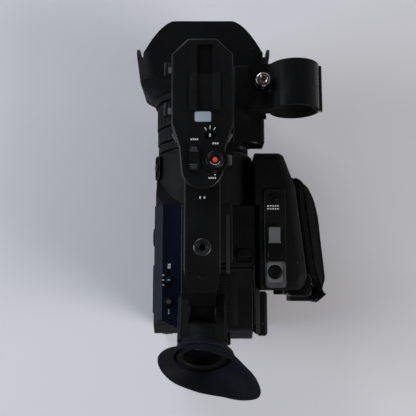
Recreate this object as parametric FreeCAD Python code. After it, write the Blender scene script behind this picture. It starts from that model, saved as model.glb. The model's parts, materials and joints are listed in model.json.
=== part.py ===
import FreeCAD, Part
import math
import os

# Handheld professional camcorder, in millimetres.
# +X points to the operator's right, +Y along the lens to the subject, +Z up.
# The origin is the mouth of the tripod socket, in the plane that the camera stands on.

V = FreeCAD.Vector

# ---------------------------------------------------------------- clearances
SEAM = 0.3            # parting line between two fixed pieces
RUN = 0.1             # radial running clearance of a ring or a pin
KEY_GAP = 0.4         # gap round a button, rocker or switch
FREE = 0.6            # gap beside a hinged part
WALL = 2.5            # moulded cover

# ---------------------------------------------------------------- main body
FOOT_HEIGHT = 1.0     # rubber feet under the base cover
FOOT_R = 6.0
BODY_LEFT = -43.0
BODY_RIGHT = 50.0
BODY_REAR = -112.0
BODY_FRONT = 0.0
BODY_TOP = 122.0
BODY_EDGE = 4.0       # chamfer of the long edges
BEVEL_WIDTH = 8.0     # left shoulder bevel
BEVEL_DROP = 12.0
STEP_X = 26.0         # the top steps down to the right of this
STEP_Z = 112.0
LEFT_SPLIT = -19.0    # seam between left and top covers
BASE_SPLIT = 12.0     # seam between base and the covers above
REAR_SPLIT = -104.0   # seam of the rear cover
CORNER_CUT = 17.0     # slanted corner at the rear of the left shoulder
FEET = [(-32.0, -98.0), (38.0, -98.0), (-30.0, 30.0), (30.0, 30.0)]
BASE_SCREWS = [(-32.0, -60.0), (38.0, -60.0), (-32.0, -20.0), (38.0, -20.0)]
SCREW_R = 1.5
SCREW_HEAD_R = 2.8
SCREW_LENGTH = 8.0

# ---------------------------------------------------------------- left side
CARD_Y = (-92.0, -54.0)
CARD_Z = (40.0, 92.0)
CARD_HALF = 12.5      # half of a card slot's length
CARD_SLOT = 2.6
CARD_INSET = 12.0     # a slot's middle from the window's edge
DOOR_THICK = 2.0
DOOR_LAP = 3.0
KEYS_X = -29.0
KEY_WELL = 1.5
SLIDER_Y = -65.6
SLIDER_SIZE = (4.4, 6.0)
SLIDER_TRAVEL = 4.0
SLIDER_PROUD = 1.4
USER_Y = -84.0
USER_R = 3.8
USER_PROUD = 1.2
DIAL_Y = -24.0
DIAL_Z = 66.0
DIAL_R = 9.0
DIAL_PROUD = 4.5
DIAL_SHAFT_R = 3.0

# ---------------------------------------------------------------- battery release
RELEASE_X = 36.0
RELEASE_Y = -42.0
RELEASE_SIZE = (13.0, 7.0)
RELEASE_TRAVEL = 4.0
RELEASE_PROUD = 1.6

# ---------------------------------------------------------------- rear terminals
XLR_REAR = (-24.0, 38.0)
JACKS = [(-32.0, 74.0), (-32.0, 90.0), (-16.0, 90.0)]
JACK_R = 4.6
JACK_BORE_R = 2.4
PORT = (-13.0, 74.0)
PORT_SIZE = (15.0, 6.0)
TERMINAL_DEPTH = 8.0

# ---------------------------------------------------------------- inside the body
BOARD_X = -33.0
BOARD_THICK = 1.6
BOARD_Y = (-94.0, -8.0)
BOARD_Z = (18.0, 104.0)
CHIP_HALF = 9.0
SINK_X = (-30.0, -22.0)
FAN_Y = -40.0
FAN_Z = 62.0
FAN_SIZE = 34.0
FAN_R = 15.0
FAN_DEPTH = 9.0
FAN_BAR = 1.5
FAN_BLADES = 7
SHAFT_R = 1.5

# ---------------------------------------------------------------- lens
LENS_Z = 80.0
HOUSING_FRONT = 50.0
HOUSING_R = 45.0
HOUSING_X = 1.0
HOUSING_FLOOR = 8.0
HOUSING_WALL = 3.0
BARREL_R = 38.5
BARREL_NECK_R = 33.0
BARREL_STEP = 30.0
BARREL_BORE_R = 28.0
BARREL_REAR = 8.0
BARREL_FRONT = 104.0
FILTER_R = 33.5       # 67 mm filter thread
FILTER_DEPTH = 6.0
GLASS_R = 31.0
GLASS_THICK = 9.0
FLANGE_R = 41.0
FLANGE_LENGTH = 5.5
RING_GAP = 1.5
IRIS_LENGTH = 7.0
ZOOM_LENGTH = 12.5
FOCUS_LENGTH = 22.0
IRIS_R = 42.4
ZOOM_R = 43.2
FOCUS_R = 43.8
CELL_Y = 56.0         # zoom group at rest
CELL_LENGTH = 10.0
FOCUS_FRONT = BARREL_FRONT - FLANGE_LENGTH - RING_GAP
ZOOM_FRONT = FOCUS_FRONT - FOCUS_LENGTH - RING_GAP
IRIS_FRONT = ZOOM_FRONT - ZOOM_LENGTH - RING_GAP
RINGS = {
    "focus_ring": (FOCUS_R, FOCUS_FRONT, FOCUS_LENGTH),
    "zoom_ring": (ZOOM_R, ZOOM_FRONT, ZOOM_LENGTH),
    "iris_ring": (IRIS_R, IRIS_FRONT, IRIS_LENGTH),
}
LENS_AXIS = (0.0, LENS_Z)
ND_ANGLE = 25.0       # above level, on the left of the housing
ND_Y = 37.0
ND_SIZE = (22.0, 11.0)
ND_RIM = 2.0
ND_TRAVEL = 5.0
ND_LIFT = 2.4

# ---------------------------------------------------------------- hood
HOOD_WALL = 2.4
COLLAR_R = 46.0
HOOD_WAIST = 116.0    # the round neck has become the rectangle here
HOOD_FRONT = 166.0
HOOD_SIDE_FRONT = 155.0
HOOD_CORNER_FRONT = 134.5   # the four corners are cut back to here
HOOD_WAIST_SIZE = (116.0, 86.0)
HOOD_FRONT_SIZE = (129.0, 98.0)
HOOD_PETAL = 27.0     # half width of the straight front edge
HOOD_CORNER_AT = 59.5    # half width where the top edge is cut back furthest
HOOD_CORNER_Z = 35.0     # the side petals end this far above and below the axis
HOOD_WAIST_CORNER = 15.5
HOOD_FRONT_CORNER = 14.0

# ---------------------------------------------------------------- handle
HANDLE_HALF = 14.4
NECK_HALF = 10.4
HANDLE_TOP = 178.0
HANDLE_UNDER = 158.0
COVER_THICK = 6.0
COVER_BEVEL = 1.0
LEG_FRONT = 47.0
LEG_REAR = 8.0
NECK_FRONT = -62.0
SOCKET_Y = -41.6      # accessory socket
SOCKET_R = 4.2        # tapped 3/8-16
SOCKET_DEPTH = 10.0
SOCKET_RIM_R = 7.0
HANDLE_SCREW_Y = -65.0
COVER_UNDER = HANDLE_TOP - COVER_THICK

# ---------------------------------------------------------------- control head
HEAD_HALF = 24.6
HEAD_FRONT = 126.0
HEAD_CORNER = 13.0
HEAD_TAPER = 56.0     # the sides start to close behind this
TAIL_END = 3.0
TAIL_HALF = 17.0
HEAD_UNDER = 171.0
HEAD_SPLIT = 178.0
HEAD_TOP = 184.0
SHOE_X = 2.0
SHOE_REAR = 66.0
SHOE_LENGTH = 31.0
SHOE_WIDTH = 25.0
SHOE_SLOT = 18.7      # between the side walls
SHOE_MOUTH = 12.6     # between the lips
SHOE_FLOOR = 1.5
SHOE_CLEAR = 2.2      # height under the lips
SHOE_LIP = 1.3
SHOE_LEAD = 24.0      # open groove ahead of the shoe
KEY_DEPTH = 4.0       # of the wells that hold the keys
ROCKER_X = -6.6
ROCKER_Y = 27.5
ROCKER_SIZE = (9.0, 21.0)
REC_X = 10.0
REC_Y = 26.0
REC_R = 7.4
LEVER_R = 10.2
SPEED_X = 6.1
SPEED_Y = 45.5
SPEED_SIZE = (8.0, 4.4)
SPEED_TRAVEL = 2.2
SPEED_PROUD = 1.4
ROCKER_PROUD = 2.2
ROCKER_LIFT = 1.8     # ridge that a rocker turns on
DISH_R = 60.0         # hollow across a rocker's top
REC_PROUD = 2.0
SIDE_Y = 29.0
SIDE_LENGTH = 8.0
SIDE_Z = (166.5, 171.0)
SIDE_PROUD = 6.0
INSET_PLACE = (0.5, 61.0)
INSET_SIZE = (13.2, 8.6)
INSET_DEPTH = 0.8

# ---------------------------------------------------------------- monitor
LCD_AXIS_X = -28.4
LCD_AXIS_Z = 170.4
LCD_REAR = 55.0
LCD_FRONT = 112.0
LCD_WIDTH = 40.0
LCD_THICK = 8.0
LCD_REACH = 5.0       # hinge axis to the monitor's near edge
LCD_DROP = 1.2        # head underside to the folded monitor
KNUCKLES = (70.5, 104.7)
KNUCKLE_LENGTH = 11.0
KNUCKLE_R = 3.0
PIN_R = 1.5
LCD_AXIS = (LCD_AXIS_X, LCD_AXIS_Z)
LCD_NEAR = LCD_AXIS_X + LCD_REACH
LCD_UNDER = HEAD_UNDER - LCD_DROP - LCD_THICK
LCD_BORDER = 4.0

# ---------------------------------------------------------------- audio block and microphone holder
AUDIO_X = (25.4, 52.5)
AUDIO_Y = (50.0, 97.0)
AUDIO_Z = (120.4, 147.0)
NOSE_FRONT = 117.5    # shelf ahead of the block, over the hood
NOSE_THICK = 17.0
XLR_R = 10.6
XLR_DEPTH = 15.0
XLR_FRONT = ((AUDIO_X[0] + AUDIO_X[1]) / 2, (AUDIO_Z[0] + AUDIO_Z[1]) / 2)
MIC_X = 77.0
MIC_Z = 153.5
MIC_REAR = 74.5
MIC_FRONT = 113.5
MIC_OUTER_R = 21.0
MIC_WALL = 3.0
MIC_LINER = 2.6
FLANGE_LEFT = 38.5
FLANGE_THICK = 6.0
KNOB_X = 50.0
KNOB_Y = 97.5
KNOB_R = 6.0
KNOB_HEIGHT = 9.0
STUD_R = 2.0
HEX_R = 3.0
MIC_AXIS = (MIC_X, MIC_Z)
CLAMP_SPLIT = 0.3
HINGE_X = MIC_X + MIC_OUTER_R
HINGE_R = 2.8
BAND_BLEND = 7.0

# ---------------------------------------------------------------- hand grip
GRIP_FLOOR = 22.0
GRIP_TOP = 116.0
GRIP_WALL = 4.0
GRIP_ROUND = 9.0
GRIP_FRONT = (72.0, 49.0)       # front right corner
GRIP_SHOULDER = (83.0, 18.0)
GRIP_WIDEST = (92.0, -62.0)
GRIP_REAR = (87.0, -74.0)       # rear right corner
PLATE_THICK = 3.0
PLATE_X = (54.0, 73.0)
PLATE_Y = (-72.5, 15.0)
SEESAW_X = 62.6
SEESAW_Y = -33.0
SEESAW_SIZE = (12.5, 29.0)
ASSIST_Y = 7.0
ASSIST_R = 3.6
FUNCTION_Y = -58.6
FUNCTION_R = 5.4
THUMB_X = 69.0
THUMB_Z = 98.0
THUMB_R = 6.0
PLATE_FLOOR = GRIP_TOP - PLATE_THICK
PLATE_TOP = GRIP_TOP + 1.5

# ---------------------------------------------------------------- hand strap
STRAP_Z = (44.0, 94.0)
STRAP_THICK = 6.5
STRAP_LOW = [(86.0, 27.5), (98.0, 27.5), (106.5, 20.5), (112.0, -1.0), (114.4, -27.0), (116.8, -52.0),
             (117.0, -65.0), (110.5, -75.0), (102.0, -79.5)]
STRAP_HIGH = [(86.0, 27.5), (92.0, 26.5), (94.5, 20.0), (92.8, -1.0), (94.0, -27.0), (97.0, -52.0),
              (100.5, -64.0), (106.0, -74.0), (102.0, -79.5)]

# ---------------------------------------------------------------- terminal block
TERM_X = (BODY_RIGHT + SEAM, 58.5)
TERM_Y = (-115.0, -75.0)
TERM_Z = (22.0, 88.0)
TERM_JACKS_Z = (38.0, 55.0, 72.0)
TERM_JACK_R = 2.6

# ---------------------------------------------------------------- viewfinder
EVF_Y = -92.0
EVF_Z = 140.0
EVF_HALF = 19.5
EVF_THICK = 29.0
EVF_END = 40.0        # hinge to the eyepiece
EVF_REST = 33.0       # tilt at rest
EVF_PIN_R = 2.5
EVF_BARREL_R = 8.0
EYE_R = 20.5
EYE_BORE_R = 16.0
CUP_WALL = 2.0
EVF_SLOT = NECK_HALF + FREE
EVF_BLOCK = 14.0      # hinge to the block between the cheeks
EVF_COLLAR = 33.0     # hinge to the eyepiece collar
DISPLAY_DEPTH = 15.0  # collar to the display
DIOPTER_Y = -25.0
DIOPTER_R = 5.0
CUP_RIM = [(-34.0, 4.0), (-26.0, 17.0), (-8.0, 23.0), (12.0, 22.0), (30.0, 14.0), (42.0, -2.0),
           (44.0, -18.0), (34.0, -25.0), (14.0, -26.0), (-8.0, -25.0), (-26.0, -17.0)]
CUP_DEPTH = 12.5      # collar to the rim, on the axis
CUP_LEAN = (0.20, -0.24)

# ---------------------------------------------------------------- battery
BAY_X = (12.0, 44.5)
BAY_FRONT = -54.0
BAY_FLOOR = 36.0
BAY_WALL = 2.5
BAY_SIDE = 1.2        # thinner right wall
BATTERY_TOP = 111.0
BATTERY_PROUD = 5.0
BATTERY_GAP = 0.5
BATTERY_SLANT = (9.0, 14.0)

# ---------------------------------------------------------------- tripod plate
TRIPOD_SIZE = 34.0
TRIPOD_HOLE_R = 2.6   # tapped 1/4-20 UNC
LOCATING_R = 2.25
LOCATING_Y = 12.5
LOCATING_DEPTH = 4.0


# ================================================================ shape helpers
def box(xs, ys, zs):
    """Box between low and high values on each axis."""
    return Part.makeBox(xs[1] - xs[0], ys[1] - ys[0], zs[1] - zs[0], V(xs[0], ys[0], zs[0]))


def place(axis, u, v, w):
    """Point with w along the axis and (u, v) across it, in X, Y, Z order."""
    return {"x": V(w, u, v), "y": V(u, w, v), "z": V(u, v, w)}[axis]


def rod(axis, radius, centre, low, high):
    """Cylinder along an axis; centre holds the two other coordinates."""
    return Part.makeCylinder(radius, high - low, place(axis, *centre, low), place(axis, 0, 0, 1))


def ring(axis, outer, inner, centre, low, high):
    return rod(axis, outer, centre, low, high).cut(rod(axis, inner, centre, low - 1, high + 1))


def extrude(wire, axis, low, high):
    return Part.Face(wire).extrude(place(axis, 0, 0, high - low))


def outline(axis, points, at):
    """Closed polygon across an axis."""
    corners = [place(axis, u, v, at) for u, v in points]
    return Part.makePolygon(corners + corners[:1])


def prism(axis, points, low, high):
    return extrude(outline(axis, points, low), axis, low, high)


def rounded_outline(axis, centre, size, radius, at):
    """Closed rounded rectangle across an axis, made of four lines and four arcs."""
    arcs = []
    for sign_u, sign_v, start in ((1, 1, 0), (-1, 1, 90), (-1, -1, 180), (1, -1, 270)):
        cu = centre[0] + sign_u * (size[0] / 2 - radius)
        cv = centre[1] + sign_v * (size[1] / 2 - radius)
        turns = [math.radians(start + step) for step in (0, 45, 90)]
        arcs.append([place(axis, cu + radius * math.cos(t), cv + radius * math.sin(t), at) for t in turns])
    edges = []
    for arc, following in zip(arcs, arcs[1:] + arcs[:1]):
        edges.append(Part.Arc(*arc).toShape())
        edges.append(Part.LineSegment(arc[2], following[0]).toShape())
    return Part.Wire(edges)


def pill(axis, centre, size, radius, low, high):
    """Rounded rectangle block."""
    return extrude(rounded_outline(axis, centre, size, radius, low), axis, low, high)


def spans(edge):
    """Low and high values of an edge on each axis."""
    bounds = edge.BoundBox
    return {
        "x": (bounds.XMin, bounds.XMax),
        "y": (bounds.YMin, bounds.YMax),
        "z": (bounds.ZMin, bounds.ZMax),
    }


def level(axis, value):
    """Test for edges that lie whole in one plane across an axis."""
    return lambda edge: all(abs(bound - value) < 0.01 for bound in spans(edge)[axis])


def along(axis):
    """Test for straight edges parallel to an axis."""
    others = [name for name in "xyz" if name != axis]
    return lambda edge: all(spans(edge)[name][1] - spans(edge)[name][0] < 0.01 for name in others)


def soften(shape, radius, wanted):
    """Fillet the edges that the test picks."""
    return shape.makeFillet(radius, [edge for edge in shape.Edges if wanted(edge)])


def bevel(shape, size, wanted):
    """Chamfer the edges that the test picks."""
    return shape.makeChamfer(size, [edge for edge in shape.Edges if wanted(edge)])


def join(*shapes):
    whole = shapes[0]
    for shape in shapes[1:]:
        whole = whole.fuse(shape)
    return whole.removeSplitter()


def carve(shape, *tools):
    for tool in tools:
        shape = shape.cut(tool)
    return shape


def turned(shape, centre, axis, angle):
    copy = shape.copy()
    copy.rotate(centre, axis, angle)
    return copy


def moved(shape, x=0.0, y=0.0, z=0.0):
    copy = shape.copy()
    copy.translate(V(x, y, z))
    return copy


def save(name, *shapes):
    """Write the solids of one sub-part to its STEP file."""
    solids = [solid for shape in shapes for solid in shape.Solids]
    whole = solids[0] if len(solids) == 1 else Part.makeCompound(solids)
    whole.exportStep("parts/%s.step" % name)


# ================================================================ body covers
def body_section(inset=0.0):
    """Outline of the main body, across the lens axis."""
    points = [
        (BODY_LEFT + BODY_EDGE, FOOT_HEIGHT), (BODY_RIGHT - BODY_EDGE, FOOT_HEIGHT),
        (BODY_RIGHT, FOOT_HEIGHT + BODY_EDGE), (BODY_RIGHT, STEP_Z - BODY_EDGE),
        (BODY_RIGHT - BODY_EDGE, STEP_Z), (STEP_X, STEP_Z), (STEP_X, BODY_TOP),
        (BODY_LEFT + BEVEL_WIDTH, BODY_TOP), (BODY_LEFT, BODY_TOP - BEVEL_DROP),
        (BODY_LEFT, FOOT_HEIGHT + BODY_EDGE),
    ]
    wire = outline("y", points, BODY_REAR)
    return wire.makeOffset2D(-inset, 2) if inset else wire


def body_shell():
    """Hollow body with the battery bay and the slanted rear corner cut away."""
    low = BODY_TOP - 2 * BEVEL_DROP
    outer = extrude(body_section(), "y", BODY_REAR, BODY_FRONT)
    corner = prism("z", [(BODY_LEFT - 1, BODY_REAR - 1), (BODY_LEFT + 2 * CORNER_CUT, BODY_REAR - 1),
                         (BODY_LEFT - 1, BODY_REAR + CORNER_CUT)], low, BODY_TOP + 5)
    slant = prism("x", [(BODY_REAR - 1, low), (BODY_REAR + CORNER_CUT, BODY_TOP + 1),
                        (BODY_REAR - 1, BODY_TOP + 1)], BODY_LEFT - 1, LEFT_SPLIT)
    cut = corner.common(slant)
    inner = moved(extrude(body_section(WALL), "y", BODY_REAR, BODY_FRONT), y=WALL)
    inner = inner.cut(moved(cut, x=WALL, y=WALL, z=-WALL))
    room = BAY_WALL + SEAM
    bay = box((BAY_X[0] - room, BAY_X[1] + BAY_SIDE + SEAM), (BODY_REAR - 1, BAY_FRONT + room),
              (BAY_FLOOR - room, BODY_TOP + 1))
    return carve(outer.cut(cut), inner, bay)


def split_body():
    shell = body_shell()
    far = 300.0
    above = BASE_SPLIT + SEAM
    ahead = REAR_SPLIT + SEAM
    return {
        "base": shell.common(box((-far, far), (-far, far), (-1, BASE_SPLIT))),
        "rear": shell.common(box((-far, far), (-far, REAR_SPLIT), (above, far))),
        "left": shell.common(box((-far, LEFT_SPLIT), (ahead, far), (above, far))),
        "top": shell.common(box((LEFT_SPLIT + SEAM, STEP_X - SEAM), (ahead, far), (above, far))),
        "right": shell.common(box((STEP_X, far), (ahead, far), (above, far))),
    }


def base_cover(shell_part):
    """Base with the hollow tongue that closes the lens housing from below."""
    width = 2 * HOUSING_R - 12
    length = HOUSING_FRONT - 6
    centre = (HOUSING_X, length / 2 - WALL)
    tongue = pill("z", centre, (width, length), 8, FOOT_HEIGHT, HOUSING_FLOOR - SEAM)
    hollow = pill("z", centre, (width - 2 * WALL, length - 2 * WALL), 6, FOOT_HEIGHT + WALL, HOUSING_FLOOR)
    behind = box((-width, width), (-2 * WALL - 5, -WALL), (0, 2 * HOUSING_FLOOR))
    whole = join(shell_part, carve(tongue, hollow, behind))
    plate_room = TRIPOD_SIZE + 2 * SEAM
    whole = whole.cut(pill("z", (0, 0), (plate_room, plate_room), 5, -1, BASE_SPLIT + 1))
    for centre in BASE_SCREWS:
        whole = carve(whole, rod("z", SCREW_R + RUN, centre, 0, 2 * BASE_SPLIT),
                      rod("z", SCREW_HEAD_R + RUN, centre, 0, FOOT_HEIGHT + 1))
    return whole


def base_screws():
    screws = []
    for x, y in BASE_SCREWS:
        screw = join(rod("z", SCREW_HEAD_R, (x, y), FOOT_HEIGHT, FOOT_HEIGHT + 1),
                     rod("z", SCREW_R, (x, y), FOOT_HEIGHT, FOOT_HEIGHT + SCREW_LENGTH))
        screws.append(screw.cut(box((x - 2, x + 2), (y - 0.4, y + 0.4), (0, FOOT_HEIGHT + 0.5))))
    return screws


def feet():
    return [bevel(rod("z", FOOT_R, foot, 0, FOOT_HEIGHT), 0.3, level("z", 0)) for foot in FEET]


def tripod_plate():
    plate = pill("z", (0, 0), (TRIPOD_SIZE, TRIPOD_SIZE), 5, 0, HOUSING_FLOOR - SEAM)
    plate = bevel(plate, 0.4, level("z", 0))
    return carve(plate, rod("z", TRIPOD_HOLE_R, (0, 0), -1, HOUSING_FLOOR + 1),
                 rod("z", LOCATING_R, (0, LOCATING_Y), -1, LOCATING_DEPTH))


def left_cover(shell_part):
    """Left cover with its card window, the wells of the two keys and the dial's hole."""
    through = (BODY_LEFT - 1, BODY_LEFT + WALL + 1)
    floor = BODY_TOP - KEY_WELL
    window = box(through, CARD_Y, CARD_Z)
    well = (SLIDER_SIZE[0] + 2 * KEY_GAP, SLIDER_SIZE[1] + 2 * SLIDER_TRAVEL + 2 * KEY_GAP)
    slider = pill("z", (KEYS_X, SLIDER_Y), well, 2.2, floor, BODY_TOP + 1)
    button = rod("z", USER_R + KEY_GAP, (KEYS_X, USER_Y), floor, BODY_TOP + 1)
    dial = rod("x", DIAL_SHAFT_R + RUN, (DIAL_Y, DIAL_Z), *through)
    return carve(shell_part, window, slider, button, dial)


def card_slots():
    """Block with the two memory card slots behind the window."""
    ys = (CARD_Y[0] + SEAM, CARD_Y[1] - SEAM)
    zs = (CARD_Z[0] + SEAM, CARD_Z[1] - SEAM)
    block = box((BODY_LEFT, BODY_LEFT + 8), ys, zs)
    middle = (CARD_Y[0] + CARD_Y[1]) / 2
    for z in (CARD_Z[0] + CARD_INSET, CARD_Z[1] - CARD_INSET):
        slot = box((BODY_LEFT - 1, BODY_LEFT + 6), (middle - CARD_HALF, middle + CARD_HALF),
                   (z - CARD_SLOT / 2, z + CARD_SLOT / 2))
        block = block.cut(slot)
    return block


def card_door():
    """Door over the card slots, with the round bead that it turns on along its lower edge."""
    ys = (CARD_Y[0] - DOOR_LAP, CARD_Y[1] + DOOR_LAP)
    zs = (CARD_Z[0] - DOOR_LAP, CARD_Z[1] + DOOR_LAP)
    size = (ys[1] - ys[0], zs[1] - zs[0])
    centre = ((ys[0] + ys[1]) / 2, (zs[0] + zs[1]) / 2)
    high = BODY_LEFT - SEAM
    door = pill("x", centre, size, 3, high - DOOR_THICK, high)
    door = bevel(door, 0.8, level("x", high - DOOR_THICK))
    bead = rod("y", DOOR_THICK / 2, (high - DOOR_THICK / 2, zs[0]), CARD_Y[0], CARD_Y[1])
    return join(door, bead)


def slider_knob():
    top = BODY_TOP + SLIDER_PROUD
    knob = pill("z", (KEYS_X, SLIDER_Y), SLIDER_SIZE, 1.2, BODY_TOP - KEY_WELL + SEAM, top)
    return bevel(knob, 0.4, level("z", top))


def user_button():
    top = BODY_TOP + USER_PROUD
    button = rod("z", USER_R, (KEYS_X, USER_Y), BODY_TOP - KEY_WELL + 0.9, top)
    return bevel(button, 0.4, level("z", top))


def menu_dial():
    face = BODY_LEFT - DIAL_PROUD
    wheel = bevel(rod("x", DIAL_R, (DIAL_Y, DIAL_Z), face, BODY_LEFT - SEAM), 0.8, level("x", face))
    return join(wheel, rod("x", DIAL_SHAFT_R, (DIAL_Y, DIAL_Z), BODY_LEFT - 1, BODY_LEFT + WALL))


def right_cover(shell_part):
    size = (RELEASE_SIZE[0] + 2 * KEY_GAP, RELEASE_SIZE[1] + RELEASE_TRAVEL + 2 * KEY_GAP)
    well = pill("z", (RELEASE_X, RELEASE_Y - RELEASE_TRAVEL / 2), size, 1.5, STEP_Z - KEY_WELL, STEP_Z + 1)
    return shell_part.cut(well)


def battery_release():
    top = STEP_Z + RELEASE_PROUD
    key = pill("z", (RELEASE_X, RELEASE_Y), RELEASE_SIZE, 1.5, STEP_Z - KEY_WELL + SEAM, top)
    return bevel(key, 0.5, level("z", top))


def rear_cover(shell_part):
    through = (BODY_REAR - 1, BODY_REAR + WALL + 1)
    cover = shell_part.cut(rod("y", XLR_R + WALL + RUN, XLR_REAR, *through))
    for centre in JACKS:
        cover = cover.cut(rod("y", JACK_R + RUN, centre, *through))
    hole = (PORT_SIZE[0] + 2 * RUN, PORT_SIZE[1] + 2 * RUN)
    return cover.cut(pill("y", PORT, hole, 1, *through))


def xlr_socket(centre, mouth, wall):
    """Three-pole socket that opens rearward at the mouth."""
    cup = rod("y", XLR_R + wall, centre, mouth, mouth + XLR_DEPTH)
    cup = cup.cut(rod("y", XLR_R, centre, mouth - 1, mouth + XLR_DEPTH - 2))
    core = rod("y", XLR_R - 2, centre, mouth + 1, mouth + XLR_DEPTH - 2)
    for angle in (30, 150, 270):
        turn = math.radians(angle)
        pole = (centre[0] + 4.5 * math.cos(turn), centre[1] + 4.5 * math.sin(turn))
        core = core.cut(rod("y", 1.5, pole, mouth - 1, mouth + XLR_DEPTH - 3))
    return join(cup, core)


def rear_terminals():
    deep = BODY_REAR + TERMINAL_DEPTH
    jacks = [ring("y", JACK_R, JACK_BORE_R, centre, BODY_REAR - 1.2, deep) for centre in JACKS]
    port = pill("y", PORT, PORT_SIZE, 1, BODY_REAR - 0.5, deep)
    mouth = (PORT_SIZE[0] - 2, PORT_SIZE[1] - 2)
    return jacks + [port.cut(pill("y", PORT, mouth, 0.8, BODY_REAR - 1, deep - 2))]


# ================================================================ inside the body
def main_board():
    face = BOARD_X + BOARD_THICK
    board = box((BOARD_X, face), BOARD_Y, BOARD_Z)
    half = CHIP_HALF
    chips = [box((face, SINK_X[0] - 0.2), (y - half, y + half), (z - half, z + half))
             for y, z in ((FAN_Y, FAN_Z), (-75.0, 50.0), (-75.0, 85.0), (-20.0, 90.0))]
    posts = [rod("x", 2.5, (y, z), BODY_LEFT + WALL + SEAM, BOARD_X)
             for y in (BOARD_Y[1] - 4, CARD_Y[1] + 8) for z in (BOARD_Z[0] + 4, BOARD_Z[1] - 4)]
    return join(board, *chips, *posts)


def heat_sink():
    ys = (FAN_Y - FAN_SIZE / 2, FAN_Y + FAN_SIZE / 2)
    sink = box(SINK_X, ys, (FAN_Z - FAN_SIZE / 2, FAN_Z + FAN_SIZE / 2))
    count = 8
    pitch = FAN_SIZE / count
    for index in range(count):
        low = ys[0] + (index + 0.25) * pitch
        sink = sink.cut(box((SINK_X[0] + 2, SINK_X[1] + 1), (low, low + pitch / 2), (0, BODY_TOP)))
    return sink


def fan_frame():
    """Square frame with the bar and the shaft that carry the rotor."""
    low = SINK_X[1] + 0.2
    frame = pill("x", (FAN_Y, FAN_Z), (FAN_SIZE, FAN_SIZE), 2, low, low + FAN_DEPTH)
    frame = frame.cut(rod("x", FAN_R + FREE, (FAN_Y, FAN_Z), low - 1, low + FAN_DEPTH + 1))
    bar = box((low, low + FAN_BAR), (FAN_Y - FAN_R - 1, FAN_Y + FAN_R + 1), (FAN_Z - 2, FAN_Z + 2))
    shaft = rod("x", SHAFT_R, (FAN_Y, FAN_Z), low, low + FAN_DEPTH - 1)
    return join(frame, bar, shaft)


def fan_rotor():
    low = SINK_X[1] + 0.2 + FAN_BAR + KEY_GAP
    high = SINK_X[1] + 0.2 + FAN_DEPTH
    hub = rod("x", 5.0, (FAN_Y, FAN_Z), low, high)
    blades = []
    for index in range(FAN_BLADES):
        blade = box((low + 0.5, high - 0.5), (FAN_Y + 4, FAN_Y + FAN_R), (FAN_Z - 0.5, FAN_Z + 0.5))
        blades.append(turned(blade, V(0, FAN_Y, FAN_Z), V(1, 0, 0), index * 360.0 / FAN_BLADES))
    return join(hub, *blades).cut(rod("x", SHAFT_R + RUN, (FAN_Y, FAN_Z), low - 1, high - 0.7))


def battery_bay():
    xs = (BAY_X[0] - BAY_WALL, BAY_X[1] + BAY_SIDE)
    outer = box(xs, (REAR_SPLIT, BAY_FRONT + BAY_WALL), (BAY_FLOOR - BAY_WALL, STEP_Z - SEAM))
    return outer.cut(box(BAY_X, (REAR_SPLIT - 1, BAY_FRONT), (BAY_FLOOR, STEP_Z + 1)))


def battery_terminal():
    rear = BAY_FRONT + BAY_WALL + SEAM
    return box((BAY_X[0] + 8, BAY_X[0] + 24), (rear, rear + 5), (60, 70))


def battery_pack():
    xs = (BAY_X[0] + BATTERY_GAP, BAY_X[1] - BATTERY_GAP)
    floor = BAY_FLOOR + BATTERY_GAP
    rear = BODY_REAR - BATTERY_PROUD
    front = BAY_FRONT - BATTERY_GAP
    pack = prism("x", [(front, floor), (front, BATTERY_TOP), (rear + BATTERY_SLANT[0], BATTERY_TOP),
                       (rear, BATTERY_TOP - BATTERY_SLANT[1]), (rear, floor)], *xs)
    return bevel(pack, 1.5, along("x"))


def sensor_unit():
    plate = pill("y", (0, LENS_Z), (52, 46), 4, BARREL_REAR - 4, BARREL_REAR - SEAM)
    core = box((-14, 14), (-6, BARREL_REAR - 4), (LENS_Z - 12, LENS_Z + 12))
    return join(plate, core)


# ================================================================ lens
def lens_housing():
    """Housing with a round crown, and the shoulders that blend it into the body."""
    left = HOUSING_X - HOUSING_R
    right = HOUSING_X + HOUSING_R
    arch_centre = (HOUSING_X, LENS_Z)
    lower = box((left, right), (SEAM, HOUSING_FRONT), (HOUSING_FLOOR, LENS_Z))
    lower = bevel(lower, BODY_EDGE, lambda edge: along("y")(edge) and level("z", HOUSING_FLOOR)(edge))
    body = join(lower, rod("y", HOUSING_R, arch_centre, SEAM, HOUSING_FRONT))
    body = bevel(body, 2.0, level("y", HOUSING_FRONT))
    section = extrude(body_section(), "y", BODY_REAR, HOUSING_FRONT)
    reach = (26.0, 98.0)
    near = prism("x", [(SEAM, BODY_TOP), reach, (reach[0], LENS_Z), (SEAM, LENS_Z)], BODY_LEFT + 1, -6)
    far = prism("x", [(SEAM, STEP_Z), (reach[0] - 4, reach[1]), (reach[0] - 4, LENS_Z), (SEAM, LENS_Z)],
                STEP_X - 6, right)
    body = join(body, near.common(section), far.common(section))
    wall = HOUSING_WALL
    inside = (SEAM - 1, HOUSING_FRONT - wall)
    hollow = join(box((left + wall, right - wall), inside, (HOUSING_FLOOR + wall, LENS_Z)),
                  rod("y", HOUSING_R - wall, arch_centre, *inside))
    return carve(body, hollow, rod("y", BARREL_R + RUN, LENS_AXIS, 0, HOUSING_FRONT + 1))


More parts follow.
